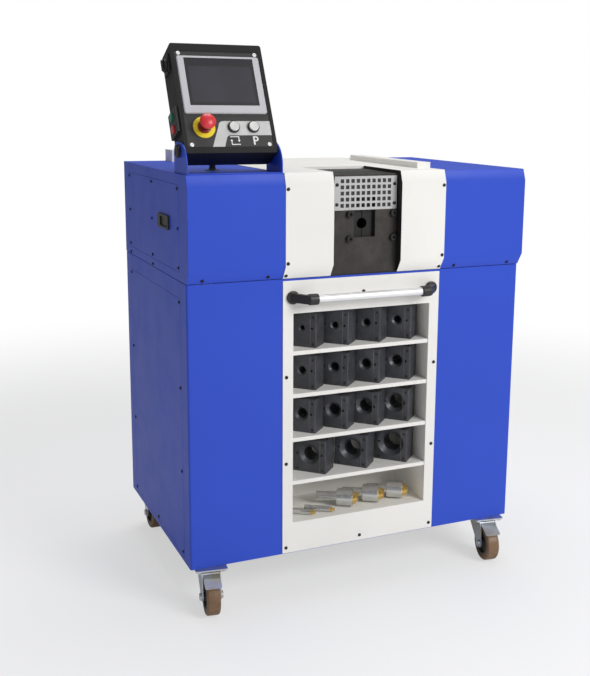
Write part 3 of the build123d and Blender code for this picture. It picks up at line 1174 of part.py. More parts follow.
def wheel(y):
    """Tyre and hub of a wheel whose axle lies at the given place."""
    half = WHEEL_WIDTH / 2
    ring = rod_x(-half, half, y, WHEEL_RADIUS, WHEEL_RADIUS)
    ring = fillet(ring.edges().filter_by(GeomType.CIRCLE), TREAD_ROUNDING)
    tyre = ring - rod_x(-half - OVERRUN, half + OVERRUN, y, WHEEL_RADIUS, HUB_RADIUS)
    hub_half = HUB_WIDTH / 2
    hub = rod_x(-half, half, y, WHEEL_RADIUS, HUB_RADIUS)
    for side in (-1, 1):
        x0, x1 = x_range(side, half - HUB_DISH, half + OVERRUN)
        hub = hub - rod_x(x0, x1, y, WHEEL_RADIUS, HUB_RADIUS - HUB_RIM)
    hub = hub + rod_x(-hub_half, hub_half, y, WHEEL_RADIUS, HUB_BOSS_RADIUS)
    return [tyre, hub - rod_x(-hub_half - OVERRUN, hub_half + OVERRUN, y, WHEEL_RADIUS, WHEEL_CLEAR_RADIUS)]


# ---- hydraulics ------------------------------------------------------------------------------------------
def oil_tank():
    """Welded oil tank on feet, with a filler neck."""
    half = TANK_WIDTH / 2
    z0 = FLOOR_TO_BOTTOM + TRAY_PLATE + TANK_FEET
    tank = block(-half, half, TANK_FRONT_Y, TANK_FRONT_Y + TANK_DEPTH, z0, z0 + TANK_HEIGHT)
    tank = fillet(tank.edges().filter_by(Axis.Z), CORNER_RADIUS)
    for x in (-1, 1):
        for y in (TANK_FRONT_Y, TANK_FRONT_Y + TANK_DEPTH - POST_SIZE):
            foot_x0, foot_x1 = x_range(x, half - POST_SIZE, half)
            tank = tank + block(foot_x0, foot_x1, y, y + POST_SIZE, FLOOR_TO_BOTTOM + TRAY_PLATE, z0)
    inset, top = 2 * FILLER_RADIUS, z0 + TANK_HEIGHT
    return tank + rod_z(half - inset, TANK_FRONT_Y + inset, top, top + FILLER_HEIGHT, FILLER_RADIUS)


def motor_axis():
    """(y, z) of the motor's shaft."""
    tank_top = FLOOR_TO_BOTTOM + TRAY_PLATE + TANK_FEET + TANK_HEIGHT
    return TANK_FRONT_Y + MOTOR_SET_BACK, tank_top + MOTOR_FOOT + MOTOR_RADIUS


def motor_pump_set():
    """Electric motor with cooling fins, bell housing and gear pump, lying on the tank."""
    y, z = motor_axis()
    start = -(MOTOR_LENGTH + BELL_LENGTH + PUMP_LENGTH) / 2
    end = start + MOTOR_LENGTH
    core = rod_x(start, end, y, z, MOTOR_RADIUS - MOTOR_FIN)
    for cap in (start, end - MOTOR_CAP):
        core = core + rod_x(cap, cap + MOTOR_CAP, y, z, MOTOR_RADIUS)
    fin_half = MOTOR_FIN_THICKNESS / 2
    fin = block(start + MOTOR_CAP, end - MOTOR_CAP, y - fin_half, y + fin_half, z, z + MOTOR_RADIUS)
    for turn in range(MOTOR_FINS):
        angle = 360 / MOTOR_FINS * (turn + 0.5)
        core = core + Pos(0, y, z) * Rot(angle, 0, 0) * Pos(0, -y, -z) * fin
    foot_z = z - MOTOR_RADIUS - MOTOR_FOOT
    foot_top = z - MOTOR_RADIUS + MOTOR_FOOT_OVERLAP
    foot_y0, foot_y1 = y - MOTOR_FOOT_HALF, y + MOTOR_FOOT_HALF
    core = core + block(start + MOTOR_CAP, end - MOTOR_CAP, foot_y0, foot_y1, foot_z, foot_top)
    pump_start, half = end + BELL_LENGTH, PUMP_SIZE / 2
    pump = block(pump_start, pump_start + PUMP_LENGTH, y - half, y + half, z - half, z + half)
    return core + rod_x(end, pump_start, y, z, BELL_RADIUS) + pump


def valve_block():
    """Drilled manifold with two solenoid valves on top, on the rear beam of the inner frame."""
    width, depth, height = VALVE_BLOCK
    z0 = SEAM_Z + HEAD_FRAME_BOTTOM
    y0, y1 = REAR_POST_Y - depth / 2, REAR_POST_Y + depth / 2
    body = chamfer(block(-width / 2, width / 2, y0, y1, z0, z0 + height / 2).edges(), EDGE_BREAK)
    for x in (-width / 4, width / 4):
        body = body + rod_z(x, REAR_POST_Y, z0 + height / 2, z0 + height, SOLENOID_RADIUS)
    return body


# ---- small screws ----------------------------------------------------------------------------------------
def screw_head(x, y, z, direction):
    """A pan head standing on a sheet at a point, its top towards a direction."""
    return Plane((x, y, z), z_dir=direction) * extrude(Circle(SCREW_HEAD_RADIUS), SCREW_HEAD_HEIGHT)


def side_screws(side):
    x, direction = side * HALF_WIDTH, (side, 0, 0)
    places = []
    y0, y1, z0, z1 = lower_window()
    for y in (y0 + SCREW_INSET, y1 - SCREW_INSET):
        for step in range(4):
            places.append((y, z0 + SCREW_INSET + step * (z1 - z0 - 2 * SCREW_INSET) / 3))
    places.append(((y0 + y1) / 2, z0 + SCREW_INSET))
    y0, y1, z0, z1 = upper_window()
    for y in (y0 + SCREW_INSET, (y0 + y1) / 2, y1 - SCREW_INSET):
        for step in range(3):
            places.append((y, z0 + SCREW_INSET + step * (z1 - z0 - 2 * SCREW_INSET) / 2))
    for y in ((y0 + y1) / 2, y1 - SCREW_INSET):
        places.append((y, SEAM_Z + LIP_SCREW_Z))
    return [screw_head(x, y, z, direction) for y, z in places]


def front_screws():
    """Screws of the rack panel, the hood and the slanted lips of the side covers."""
    screws = []
    panel_front, rack_x = -SHEET, RACK_PANEL_WIDTH / 2 - SCREW_INSET
    rack_z0, rack_z1 = FLOOR_TO_BOTTOM + RACK_PANEL_BOTTOM, SEAM_Z - RACK_PANEL_TOP_DROP
    low = rack_z0 + 1.5 * SCREW_INSET
    middles = (low, low + RACK_SCREW_PITCH, low + 2 * RACK_SCREW_PITCH)
    for side in (-1, 1):
        screws += [screw_head(side * rack_x, panel_front, z, (0, -1, 0)) for z in middles]
    screws.append(screw_head(0, panel_front, low, (0, -1, 0)))
    screws.append(screw_head(0, panel_front, rack_z1 - 4 * SCREW_INSET, (0, -1, 0)))
    slope = (0, -SLANT_HEIGHT, -FRONT_OVERHANG)
    hood_x = HALF_HOOD - SCREW_EDGE
    rise = SLANT_HEIGHT * SLANT_SCREW_SHARE
    setback = FRONT_OVERHANG * SLANT_SCREW_SHARE
    for side in (-1, 1):
        for z in (SEAM_Z + HOOD_SCREW_LOW, SEAM_Z + HOOD_SCREW_HIGH):
            screws.append(screw_head(side * hood_x, -FRONT_OVERHANG - SHEET, z, (0, -1, 0)))
        screws.append(screw_head(side * hood_x, hood_slant_y(rise), SEAM_Z + rise, slope))
        for x in (HALF_HOOD + COVER_SCREW_NEAR, HALF_WIDTH - COVER_SCREW_FAR):
            screws.append(screw_head(side * x, -setback, SEAM_Z + rise, slope))
    guard_z = SEAM_Z + GUARD_BOTTOM + GUARD_SCREW_RISE
    for x in (-GUARD_SCREW_SPACING_X / 2, GUARD_SCREW_SPACING_X / 2):
        for z in (guard_z, guard_z + GUARD_SCREW_SPACING_Z):
            screws.append(screw_head(GUARD_CENTRE_X + x, HEAD_SET_BACK - GUARD_THICKNESS, z, (0, -1, 0)))
    return screws


def hood_slant_y(rise):
    """How far forward the hood's slant stands at a height above the seam."""
    (y0, z0), (y1, z1) = cover_outline(SHEET, SHEET)[:2]
    return y0 + (y1 - y0) * rise / (z1 - z0)


# ---- the machine -----------------------------------------------------------------------------------------
def in_panel(shape):
    return PANEL_FRAME * shape


def build():
    """Every node and its solids, laid out from the cabinet."""
    sides = (-1, 1)
    nodes = {
        "base_tray": [base_tray()],
        "lower_cabinet": [lower_cabinet()],
        "rear_panel": [rear_panel()],
        "side_access_panels": [access_panel(s, w) for s in sides for w in (lower_window(), upper_window())],
        "upper_left_cover": [upper_cover(-1)],
        "upper_right_cover": [upper_cover(1)],
        "side_latches": [latch(side) for side in sides],
        "centre_hood": [centre_hood()],
        "top_covers": [hood_top_cover(), connection_box()],
        "inner_frame": [inner_frame()],
        "rack_panel": [rack_panel()],
        "rack_box": [rack_box()],
        "rack_shelves": [shelf(underside) for underside in SHELF_UNDERSIDES],
        "upper_die_blocks": die_row(0) + die_row(1),
        "lower_die_blocks": die_row(2) + die_row(3),
        "mandrel_bodies": mandrels(),
        "mandrel_tips": mandrel_tips(),
        "handle_bar": [handle_bar()],
        "handle_ends": [handle_end(side) for side in sides],
        "head_front_plate": [head_front_plate()],
        "head_frame": [head_frame()],
        "fixed_jaw": [jaw(-1)],
        "moving_jaw": [jaw(1)],
        "clamp_piston": [clamp_piston()],
        "forming_ram": [forming_piston()],
        "hydraulic_cylinders": [clamp_cylinder(), forming_cylinder()],
        "guard_plate": [guard_plate()],
        "large_screws": head_screws() + [pivot_bolt(side) for side in sides],
        "cover_screws": front_screws() + side_screws(-1) + side_screws(1),
        "panel_bracket": [panel_bracket()],
        "cable_glands": [base_gland(), mains_gland()],
        "panel_cable": [panel_cable()],
        "oil_tank": [oil_tank()],
        "motor_pump_set": [motor_pump_set()],
        "valve_block": [valve_block()],
        "panel_enclosure": [in_panel(panel_enclosure())],
        "panel_front_plate": [in_panel(panel_front_plate())],
        "screen_bezel": [in_panel(screen_bezel())],
        "screen_glass": [in_panel(screen_glass())],
        "stop_ring": [in_panel(stop_ring())],
        "button_bezels": [in_panel(button_bezel(x)) for x in BUTTON_X],
        "side_switch_housings": [in_panel(side_station()), in_panel(main_switch_base())],
        "panel_gland": [in_panel(panel_gland())],
        "stop_stem": [in_panel(stop_stem())],
        "stop_head": [in_panel(stop_head())],
        "cycle_button": [in_panel(button_cap(BUTTON_X[0]))],
        "program_button": [in_panel(button_cap(BUTTON_X[1]))],
        "start_button": [in_panel(side_button(1))],
        "stop_button": [in_panel(side_button(-1))],
        "main_switch_knob": [in_panel(main_switch_knob())],
        "front_caster_plates": [swivel_frame(side) * front_caster_plate() for side in sides],
        "rear_caster_forks": [rigid_frame(side) * rigid_fork() for side in sides],
    }
    for side, name in ((-1, "left"), (1, "right")):
        nodes[f"front_{name}_fork"] = [swivel_frame(side) * swivel_fork()]
        nodes[f"front_{name}_pedal"] = [swivel_frame(side) * brake_pedal()]
        nodes[f"front_{name}_wheel"] = [swivel_frame(side) * solid for solid in wheel(-CASTER_TRAIL)]
        nodes[f"rear_{name}_wheel"] = [rigid_frame(side) * solid for solid in wheel(0)]
    return nodes


def footprint_shift(nodes):
    """Moves the middle of the overall width and depth to the origin."""
    boxes = [solid.bounding_box() for solids in nodes.values() for solid in solids]
    x = min(box.min.X for box in boxes) + max(box.max.X for box in boxes)
    y = min(box.min.Y for box in boxes) + max(box.max.Y for box in boxes)
    return Pos(-x / 2, -y / 2, 0)


def main():
    nodes = build()
    shift = footprint_shift(nodes)
    os.makedirs("parts", exist_ok=True)
    for name, solids in nodes.items():
        moved = [shift * solid for solid in solids]
        export_step(moved[0] if len(moved) == 1 else Compound(children=moved), f"parts/{name}.step")


if __name__ == "__main__":
    main()
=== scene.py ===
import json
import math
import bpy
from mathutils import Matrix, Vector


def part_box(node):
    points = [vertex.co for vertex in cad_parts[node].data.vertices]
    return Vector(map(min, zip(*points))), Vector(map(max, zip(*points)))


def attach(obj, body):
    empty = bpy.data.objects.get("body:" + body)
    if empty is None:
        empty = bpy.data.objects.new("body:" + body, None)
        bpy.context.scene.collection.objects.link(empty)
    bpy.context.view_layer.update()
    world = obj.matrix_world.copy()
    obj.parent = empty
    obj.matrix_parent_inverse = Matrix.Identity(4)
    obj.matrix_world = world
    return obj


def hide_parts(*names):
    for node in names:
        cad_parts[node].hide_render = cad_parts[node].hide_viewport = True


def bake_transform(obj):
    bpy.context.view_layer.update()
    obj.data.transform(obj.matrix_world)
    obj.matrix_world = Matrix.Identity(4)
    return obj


bl_info = {
    "name": "Hose crimping press",
    "version": (1, 0, 0),
    "blender": (4, 5, 0),
    "location": "3D View > Sidebar > Press",
    "description": "Finished surfaces and fine parts for the packed model of a hose crimping press",
    "category": "Object",
}

import bmesh
import bpy
from bpy.props import FloatProperty, FloatVectorProperty, IntProperty, PointerProperty
from mathutils import Matrix, Vector

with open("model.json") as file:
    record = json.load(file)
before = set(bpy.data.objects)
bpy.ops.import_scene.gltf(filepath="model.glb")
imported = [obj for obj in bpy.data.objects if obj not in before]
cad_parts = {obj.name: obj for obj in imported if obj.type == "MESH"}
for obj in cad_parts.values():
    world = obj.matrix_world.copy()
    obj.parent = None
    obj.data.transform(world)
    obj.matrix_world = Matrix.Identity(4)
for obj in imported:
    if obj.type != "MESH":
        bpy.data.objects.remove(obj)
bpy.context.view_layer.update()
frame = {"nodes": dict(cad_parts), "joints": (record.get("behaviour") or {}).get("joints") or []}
MM = 0.001


# ---- what the frame says -------------------------------------------------------------------------
def span(node):
    """The lowest and highest corner of a CAD node, as vectors."""
    low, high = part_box(node)
    return Vector(low), Vector(high)


def joint(name):
    return next(j for j in frame["joints"] if j["name"] == name)


def panel_frame():
    """Turns the control panel's own axes (X right, -Y out of its face, Z up the face) into the model's."""
    inward = Vector(joint("stop_press")["axis"])
    low, high = span("panel_enclosure")
    sine, cosine = -inward.z, inward.y
    reach, rise = high.y - low.y, high.z - low.z
    height = (rise * cosine - reach * sine) / (cosine * cosine - sine * sine)
    origin = Vector(((low.x + high.x) / 2, low.y, high.z - height * cosine))
    return Matrix.Translation(origin) @ Matrix.Rotation(-math.asin(sine), 4, "X")


PANEL = panel_frame()
PANEL_BODY = "control_panel"
CABINET = "machine"
# outward direction of the slanted fronts of the upper covers
SLOPE = Vector((0, -32.5, -20)).normalized()

SMOOTH_ANGLE = math.radians(32)
# distances in metres below which vertices are joined
CAD_WELD = 2e-6
GUARD_WELD = 1e-6
LATHE_WELD = 1e-7
FINE_EDGE = 0.3 * MM
DIE_EDGE = 0.9 * MM

# thickness of the dark sheets that paint shade on the inner walls of the hood's opening
SHADE_SHEET_THICKNESS = 0.2 * MM
# share of a face's normal that has to point across for the face to be a side wall
WALL_FACING = 0.95
# black frame in the seam below the hoods, painted shade in that gap: its inset, width and overlap into the
# sheets
SEAM_SHADE_INSET = 3.5 * MM
SEAM_SHADE_WIDTH = 9 * MM
SEAM_SHADE_OVERLAP = 0.3 * MM

SCREW_SEGMENTS = 24
# (radius, height) of the socket heads that have no CAD solid
HANDLE_SCREW = (4.6 * MM, 3.2 * MM)
DIE_SCREW = (3.4 * MM, 0.6 * MM)
PANEL_SCREW = (5.2 * MM, 1.6 * MM)

HANDLE_SCREW_DEPTH = 9.5 * MM
HANDLE_SCREW_INSET = 14 * MM
HANDLE_VOXEL = 1.1 * MM
HANDLE_SMOOTHING = 0.6
HANDLE_SMOOTH_STEPS = 14

DIE_TURN = math.radians(45)
DIE_SCREW_INSET = 9 * MM
# (share of the half width, share of the half height) of the screws on a die's face
DIE_SCREW_SPOTS = ((1, 0.74), (1, -0.8), (-0.55, -0.84))
# the rebate lines on the dies are light strips that paint the highlight along the rebate edges
DIE_REBATE_INSET = 17 * MM
DIE_REBATE_HALF_WIDTH = 0.6 * MM
DIE_REBATE_HEIGHT = 0.12 * MM

PANEL_SCREW_ACROSS = 100 * MM
PANEL_SCREW_ABOVE_FOOT = 6 * MM
PANEL_SCREW_BELOW_TOP = 5.8 * MM

KNOB_RADIUS = 16 * MM
KNOB_LENGTH = 9 * MM
KNOB_FLUTES = 10
KNOB_FLUTE_DEPTH = 1.3 * MM
# (share of the length, share of the radius) from the foot over the grip to the sunk middle
KNOB_PROFILE = ((0, 0), (0, 0.86), (0.1, 0.96), (0.2, 1), (0.78, 1), (0.92, 0.95), (1, 0.86), (1, 0.62),
                (0.86, 0.5), (0.86, 0))
# the flutes are cut only where the profile is wider than this share of the radius
KNOB_GRIP_SHARE = 0.7
STEPS_PER_FLUTE = 8

CABLE_RADIUS = 5 * MM
CABLE_FIRST_RUN = 7.5 * MM
# height of the cabinet's top, which the cable's foot stands on
CABLE_SEAT = 1143 * MM
# (y, z) of the cable after its first run, down to the gland in the cabinet's top
CABLE_ROUTE = ((-162.85 * MM, 1180.2 * MM), (-157.45 * MM, 1166.2 * MM), (-157.45 * MM, 1158.7 * MM))


def extent(points):
    """The lowest and highest corner of the box round some points."""
    low = Vector([min(point[axis] for point in points) for axis in range(3)])
    high = Vector([max(point[axis] for point in points) for axis in range(3)])
    return low, high


def panel_span(node):
    """The corners of a CAD node in the control panel's own axes."""
    back = PANEL.inverted()
    return extent([back @ vertex.co for vertex in frame["nodes"][node].data.vertices])


# ---- node trees written as sums ------------------------------------------------------------------
class Term:
    """A socket that takes part in Python sums; each operator adds its Math node."""

    def __init__(self, tree, socket):
        self.tree = tree
        self.socket = socket

    def sum(self, operation, *values):
        return self.tree.node("ShaderNodeMath", {"operation": operation}, dict(enumerate(values)))

    def __add__(self, other):
        return self.sum("ADD", self, other)

    def __sub__(self, other):
        return self.sum("SUBTRACT", self, other)

    def __rsub__(self, other):
        return self.sum("SUBTRACT", other, self)

    def __mul__(self, other):
        return self.sum("MULTIPLY", self, other)

    def __truediv__(self, other):
        return self.sum("DIVIDE", self, other)

    def __gt__(self, other):
        return self.sum("GREATER_THAN", self, other)

    def __lt__(self, other):
        return self.sum("LESS_THAN", self, other)

    def __abs__(self):
        return self.sum("ABSOLUTE", self)

    __radd__ = __add__
    __rmul__ = __mul__

    def between(self, low, high):
        """0 below low, 1 above high, smooth between."""
        inputs = {"Value": self, "From Min": low, "From Max": high}
        return self.tree.node("ShaderNodeMapRange", {"interpolation_type": "SMOOTHSTEP"}, inputs)

    def part(self, axis):
        """One part of a vector."""
        return self.tree.node("ShaderNodeSeparateXYZ", {}, {0: self}, output=axis)


class Tree:
    """Adds nodes to a node tree: settings first, then the values or links of the sockets."""

    def __init__(self, tree):
        self.tree = tree

    def node(self, kind, settings=None, inputs=None, output=0):
        made = self.tree.nodes.new(kind)
        for name, value in (settings or {}).items():
            setattr(made, name, value)
        self.fill(made, inputs)
        return Term(self, made.outputs[output])

    def fill(self, made, inputs):
        for name, value in (inputs or {}).items():
            if isinstance(value, Term):
                self.tree.links.new(value.socket, made.inputs[name])
            else:
                made.inputs[name].default_value = value


class Finish(Tree):
    """A material round one Principled shader."""

    def __init__(self, name, **constants):
        self.material = bpy.data.materials.new(name)
        self.material.use_nodes = True
        super().__init__(self.material.node_tree)
        self.tree.nodes.clear()
        self.shader = self.tree.nodes.new("ShaderNodeBsdfPrincipled")
        output = self.tree.nodes.new("ShaderNodeOutputMaterial")
        self.tree.links.new(self.shader.outputs[0], output.inputs[0])
        for socket, value in constants.items():
            self.shader.inputs[socket.replace("_", " ")].default_value = value

    def place(self, stretch=(1, 1, 1), turn=(0, 0, 0), centre=(0, 0, 0)):
        """Object coordinates, centred, turned and stretched."""
        here = self.node("ShaderNodeTexCoord", output="Object")
        there = self.node("ShaderNodeVectorMath", {"operation": "SUBTRACT"}, {0: here, 1: centre})
        inputs = {"Vector": there, "Rotation": turn, "Scale": stretch}
        return self.node("ShaderNodeMapping", {"vector_type": "POINT"}, inputs)

    def noise(self, scale, detail=2.0, roughness=0.5, place=None):
        vector = place or self.place()
        inputs = {"Vector": vector, "Scale": scale, "Detail": detail, "Roughness": roughness}
        return self.node("ShaderNodeTexNoise", {}, inputs)

    def cells(self, scale):
        return self.node("ShaderNodeTexVoronoi", {}, {"Vector": self.place(), "Scale": scale})

    def mix(self, factor, first, second):
        """One colour running into another."""
        inputs = {0: factor, 6: as_rgba(first), 7: as_rgba(second)}
        return self.node("ShaderNodeMix", {"data_type": "RGBA"}, inputs, output=2)

    def set(self, **terms):
        self.fill(self.shader, {name.replace("_", " "): term for name, term in terms.items()})

    def bump(self, height, strength, distance):
        """Raises the surface by a height; distance is in metres."""
        inputs = {"Height": height, "Strength": strength, "Distance": distance}
        self.set(Normal=self.node("ShaderNodeBump", {}, inputs))


def as_rgba(colour):
    return colour if isinstance(colour, Term) else (*colour[:3], 1.0)


def tint(colour, factor):
    return tuple(min(1.0, part * factor) for part in colour[:3])


def linear(red, green, blue):
    """A display colour of 0..255 a part as a linear one."""
    parts = [part / 255 for part in (red, green, blue)]
    return tuple(part / 12.92 if part <= 0.04045 else ((part + 0.055) / 1.055) ** 2.4 for part in parts)


# ---- sizes and colours to change -----------------------------------------------------------------
def colour(name, description, red, green, blue):
    shown = linear(red, green, blue)
    return FloatVectorProperty(
        name=name, description=description, subtype="COLOR", min=0.0, max=1.0, default=shown
    )


def length(name, description, millimetres):
    metres = millimetres * MM
    return FloatProperty(
        name=name, description=description, subtype="DISTANCE", unit="LENGTH", default=metres
    )


def count(name, description, number):
    return IntProperty(name=name, description=description, default=number, min=1)


class PressColours(bpy.types.PropertyGroup):
    """Colours of the painted and moulded parts."""

    body: colour("Body", "Powder coat of the cabinet and the side covers", 50, 80, 196)
    hood: colour("Hood", "Powder coat of the hood, the rack and its panel", 236, 234, 229)
    panel: colour("Panel", "Powder coat of the control panel's housing", 32, 31, 31)
    foil: colour("Foil", "Printed front foil of the control panel", 46, 45, 44)
    foil_light: colour("Foil zone", "Light zone of the front foil round the buttons", 196, 196, 195)
    screen_frame: colour("Screen frame", "Frame of the operator screen", 188, 187, 192)
    guard: colour("Guard", "Perforated guard", 190, 189, 189)
    head: colour("Head", "Blackened front plate of the clamping head", 62, 58, 55)
    dies: colour("Dies", "Blackened die blocks", 78, 79, 84)
    tread: colour("Tread", "Caster tread", 122, 93, 66)
    red: colour("Red", "Emergency stop and stop button", 212, 54, 62)
    yellow: colour("Yellow", "Ring of the emergency stop", 240, 212, 48)
    green: colour("Green", "Start button", 20, 130, 96)


class PressSizes(bpy.types.PropertyGroup):
    """Sizes of the fine parts."""

    edge: length("Edge", "Rounding of sheet and block edges", 0.6)
    screw_radius: length("Screw head", "Radius of the small pan heads", 4.5)
    screw_height: length("Screw height", "Height of the small pan heads", 2.4)
    guard_hole: length("Guard hole", "Side of one square hole of the guard", 10.0)
    guard_pitch_x: length("Guard pitch across", "Distance of the guard's holes across", 15.1)
    guard_pitch_z: length("Guard pitch up", "Distance of the guard's holes upwards", 15.8)
    guard_columns: count("Guard columns", "Holes of the guard across", 10)
    guard_rows: count("Guard rows", "Holes of the guard upwards", 5)
    foil_thickness: length("Foil", "Thickness of the printed foil", 0.25)


def sizes():
    return bpy.context.scene.press_sizes


def colours():
    return bpy.context.scene.press_colours


# ---- finishes ------------------------------------------------------------------------------------
FINISHES = {}


def finish(name):
    """The material of that name, made on first use."""
    if name not in FINISHES:
        FINISHES[name] = MAKERS[name](name).material
    return FINISHES[name]


def powder_coat(name, colour, roughness=0.42, grain=0.35):
    """Sprayed and baked paint: orange peel, faint cloudiness, rubbed patches."""
    coat = Finish(name, Specular_IOR_Level=0.2)
    clouds = coat.noise(2.6, 3.0)
    rub = coat.noise(14.0, 5.0, 0.6)
    peel = coat.noise(620.0, 2.0)
    fine = coat.noise(1900.0, 1.0)
    coat.set(
        Base_Color=coat.mix(clouds.between(0.3, 0.7), tint(colour, 0.97), tint(colour, 1.03)),
        Roughness=roughness - 0.03 + rub.between(0.35, 0.75) * 0.06,
    )
    coat.bump(peel * 0.7 + fine * 0.3, grain, 0.00008)
    return coat


def blackened_steel(name, colour, roughness=0.4, stain=1.0):
    """Oiled black oxide: blue and brown clouds, dried oil and fine scratches."""
    steel = Finish(name, Metallic=0.35, Specular_IOR_Level=0.5)
    clouds = steel.noise(16.0, 5.0, 0.62)
    oil = steel.noise(42.0, 4.0, 0.7)
    scratches = steel.noise(90.0, 3.0, 0.7, steel.place(stretch=(1, 9, 0.6), turn=(0.3, 0.5, 0.7)))
    cool, warm = tint(colour, 0.72), (colour[0] * 1.5, colour[1] * 1.32, colour[2] * 1.1)
    base = steel.mix(clouds.between(0.42, 0.62), cool, colour)
    base = steel.mix(oil.between(0.56, 0.7) * (0.55 * stain), base, warm)
    sheen = roughness + oil.between(0.4, 0.65) * 0.22 - scratches.between(0.6, 0.75) * 0.1
    steel.set(Base_Color=base, Roughness=sheen)
    steel.bump(scratches + clouds * 0.5, 0.18, 0.0001)
    return steel


def ground_steel(name, shade=0.62, along="X", roughness=0.3):
    """Ground steel with its grain along one axis."""
    stretch = {"X": (2, 160, 160), "Y": (160, 2, 160), "Z": (160, 160, 2)}[along]
    steel = Finish(name, Metallic=1.0)
    grain = steel.noise(9.0, 4.0, 0.75, steel.place(stretch=stretch))
    stain = steel.noise(20.0, 4.0, 0.6)
    light, dark = (shade, shade, shade * 0.985), tint((shade, shade, shade * 0.96), 0.72)
    base = steel.mix(stain.between(0.5, 0.75) * 0.6, light, dark)
    steel.set(Base_Color=base, Roughness=roughness + grain * 0.16)
    steel.bump(grain, 0.22, 0.00006)
    return steel


def turned_metal(name, colour, turn=(0, 0, 0), roughness=0.24):
    """Lathe-turned metal: fine rings across its axis, which lies along the turned X."""
    metal = Finish(name, Metallic=1.0)
    rings = metal.noise(10.0, 3.0, 0.8, metal.place(stretch=(240, 1.5, 1.5), turn=turn))
    stain = metal.noise(45.0, 4.0, 0.6)
    base = metal.mix(stain.between(0.48, 0.75) * 0.4, colour, tint(colour, 0.6))
    metal.set(Base_Color=base, Roughness=roughness + rings * 0.12)
    metal.bump(rings, 0.25, 0.00005)
    return metal


def zinc_plate(name):
    """Bright zinc plating with its faint blue and yellow tones."""
    zinc = Finish(name, Metallic=1.0)
    tones = zinc.noise(22.0, 4.0, 0.6)
    spots = zinc.cells(130.0)
    base = zinc.mix(tones.between(0.4, 0.62), (0.62, 0.65, 0.7), (0.6, 0.57, 0.5))
    zinc.set(Base_Color=base, Roughness=0.26 + tones * 0.18 + spots.between(0.2, 0.7) * 0.08)
    zinc.bump(spots, 0.06, 0.00008)
    return zinc


def chromed_rod(name):
    """Hard chrome with a faint haze."""
    rod = Finish(name, Metallic=1.0)
    haze = rod.noise(30.0, 3.0)
    base = rod.mix(haze.between(0.4, 0.7), (0.78, 0.79, 0.8), (0.7, 0.71, 0.72))
    rod.set(Base_Color=base, Roughness=0.08 + haze * 0.08)
    return rod


def anodised(name):
    """Satin anodised tube, drawn along X."""
    satin = Finish(name, Metallic=0.6)
    grain = satin.noise(10.0, 3.0, 0.7, satin.place(stretch=(1.5, 200, 200)))
    base = satin.mix(grain.between(0.3, 0.8), (0.86, 0.85, 0.85), (0.78, 0.77, 0.77))
    satin.set(Base_Color=base, Roughness=0.4 + grain * 0.1)
    satin.bump(grain, 0.06, 0.00003)
    return satin


def cast_paint(name, shade=0.035):
    """Painted casting with its coarse skin."""
    skin = Finish(name, Specular_IOR_Level=0.4)
    coarse = skin.noise(160.0, 4.0, 0.65)
    worn = skin.noise(26.0, 4.0, 0.6)
    sound, rubbed = (shade, shade, shade * 1.02), (shade * 1.7, shade * 1.65, shade * 1.5)
    base = skin.mix(worn.between(0.45, 0.75), sound, rubbed)
    skin.set(Base_Color=base, Roughness=0.5 + coarse * 0.2)
    skin.bump(coarse, 0.5, 0.0003)
    return skin


def moulded(name, colour, roughness=0.42, grain=0.3, scale=1500.0):
    """Moulded plastic with a spark-eroded grain and slight handling gloss."""
    plastic = Finish(name, Specular_IOR_Level=0.45)
    skin = plastic.cells(scale)
    hands = plastic.noise(24.0, 4.0, 0.6)
    plastic.set(
        Base_Color=plastic.mix(hands.between(0.35, 0.7), tint(colour, 0.92), tint(colour, 1.06)),
        Roughness=roughness - hands.between(0.5, 0.75) * 0.1,
    )
    plastic.bump(skin, grain, 0.00006)
    return plastic


def tread_rubber(name, colour):
    """Cast polyurethane tread: cloudy, with dust in its running face."""
    tread = Finish(name, Specular_IOR_Level=0.4, Coat_Weight=0.15, Coat_Roughness=0.3)
    clouds = tread.noise(34.0, 5.0, 0.65)
    dust = tread.noise(180.0, 4.0, 0.7)
    base = tread.mix(clouds.between(0.35, 0.65), tint(colour, 0.8), tint(colour, 1.15))
    dusty = tread.mix(dust.between(0.55, 0.72) * 0.5, base, (0.3, 0.28, 0.25))
    tread.set(Base_Color=dusty, Roughness=0.4 + dust * 0.2)
    tread.bump(dust, 0.25, 0.0002)
    return tread


def screen_glass_finish(name):
    """Anti-glare touch glass over a screen that is off; the header band above the picture is darker."""
    low, high = panel_span("screen_glass")
    glass = Finish(name, Specular_IOR_Level=0.55, Coat_Weight=0.1, Coat_Roughness=0.18)
    tilt = math.asin(-joint("stop_press")["axis"][2])
    local = glass.place(turn=(tilt, 0, 0), centre=tuple(PANEL.translation))
    rise = local.part(2)
    side = abs(local.part(0))
    inside = rise.between(low.z + 0.0085, low.z + 0.009) * (1 - rise.between(high.z - 0.0225, high.z - 0.022))
    inside = inside * (1 - side.between(high.x - 0.0085, high.x - 0.008))
    sparkle = glass.noise(2400.0, 1.0)
    shade = glass.noise(9.0, 2.0)
    off = glass.mix(shade.between(0.3, 0.7), linear(40, 40, 47), linear(48, 48, 56))
    glass.set(Base_Color=glass.mix(inside, linear(30, 30, 33), off), Roughness=0.3 + sparkle * 0.12)
    glass.bump(sparkle, 0.08, 0.00002)
    return glass


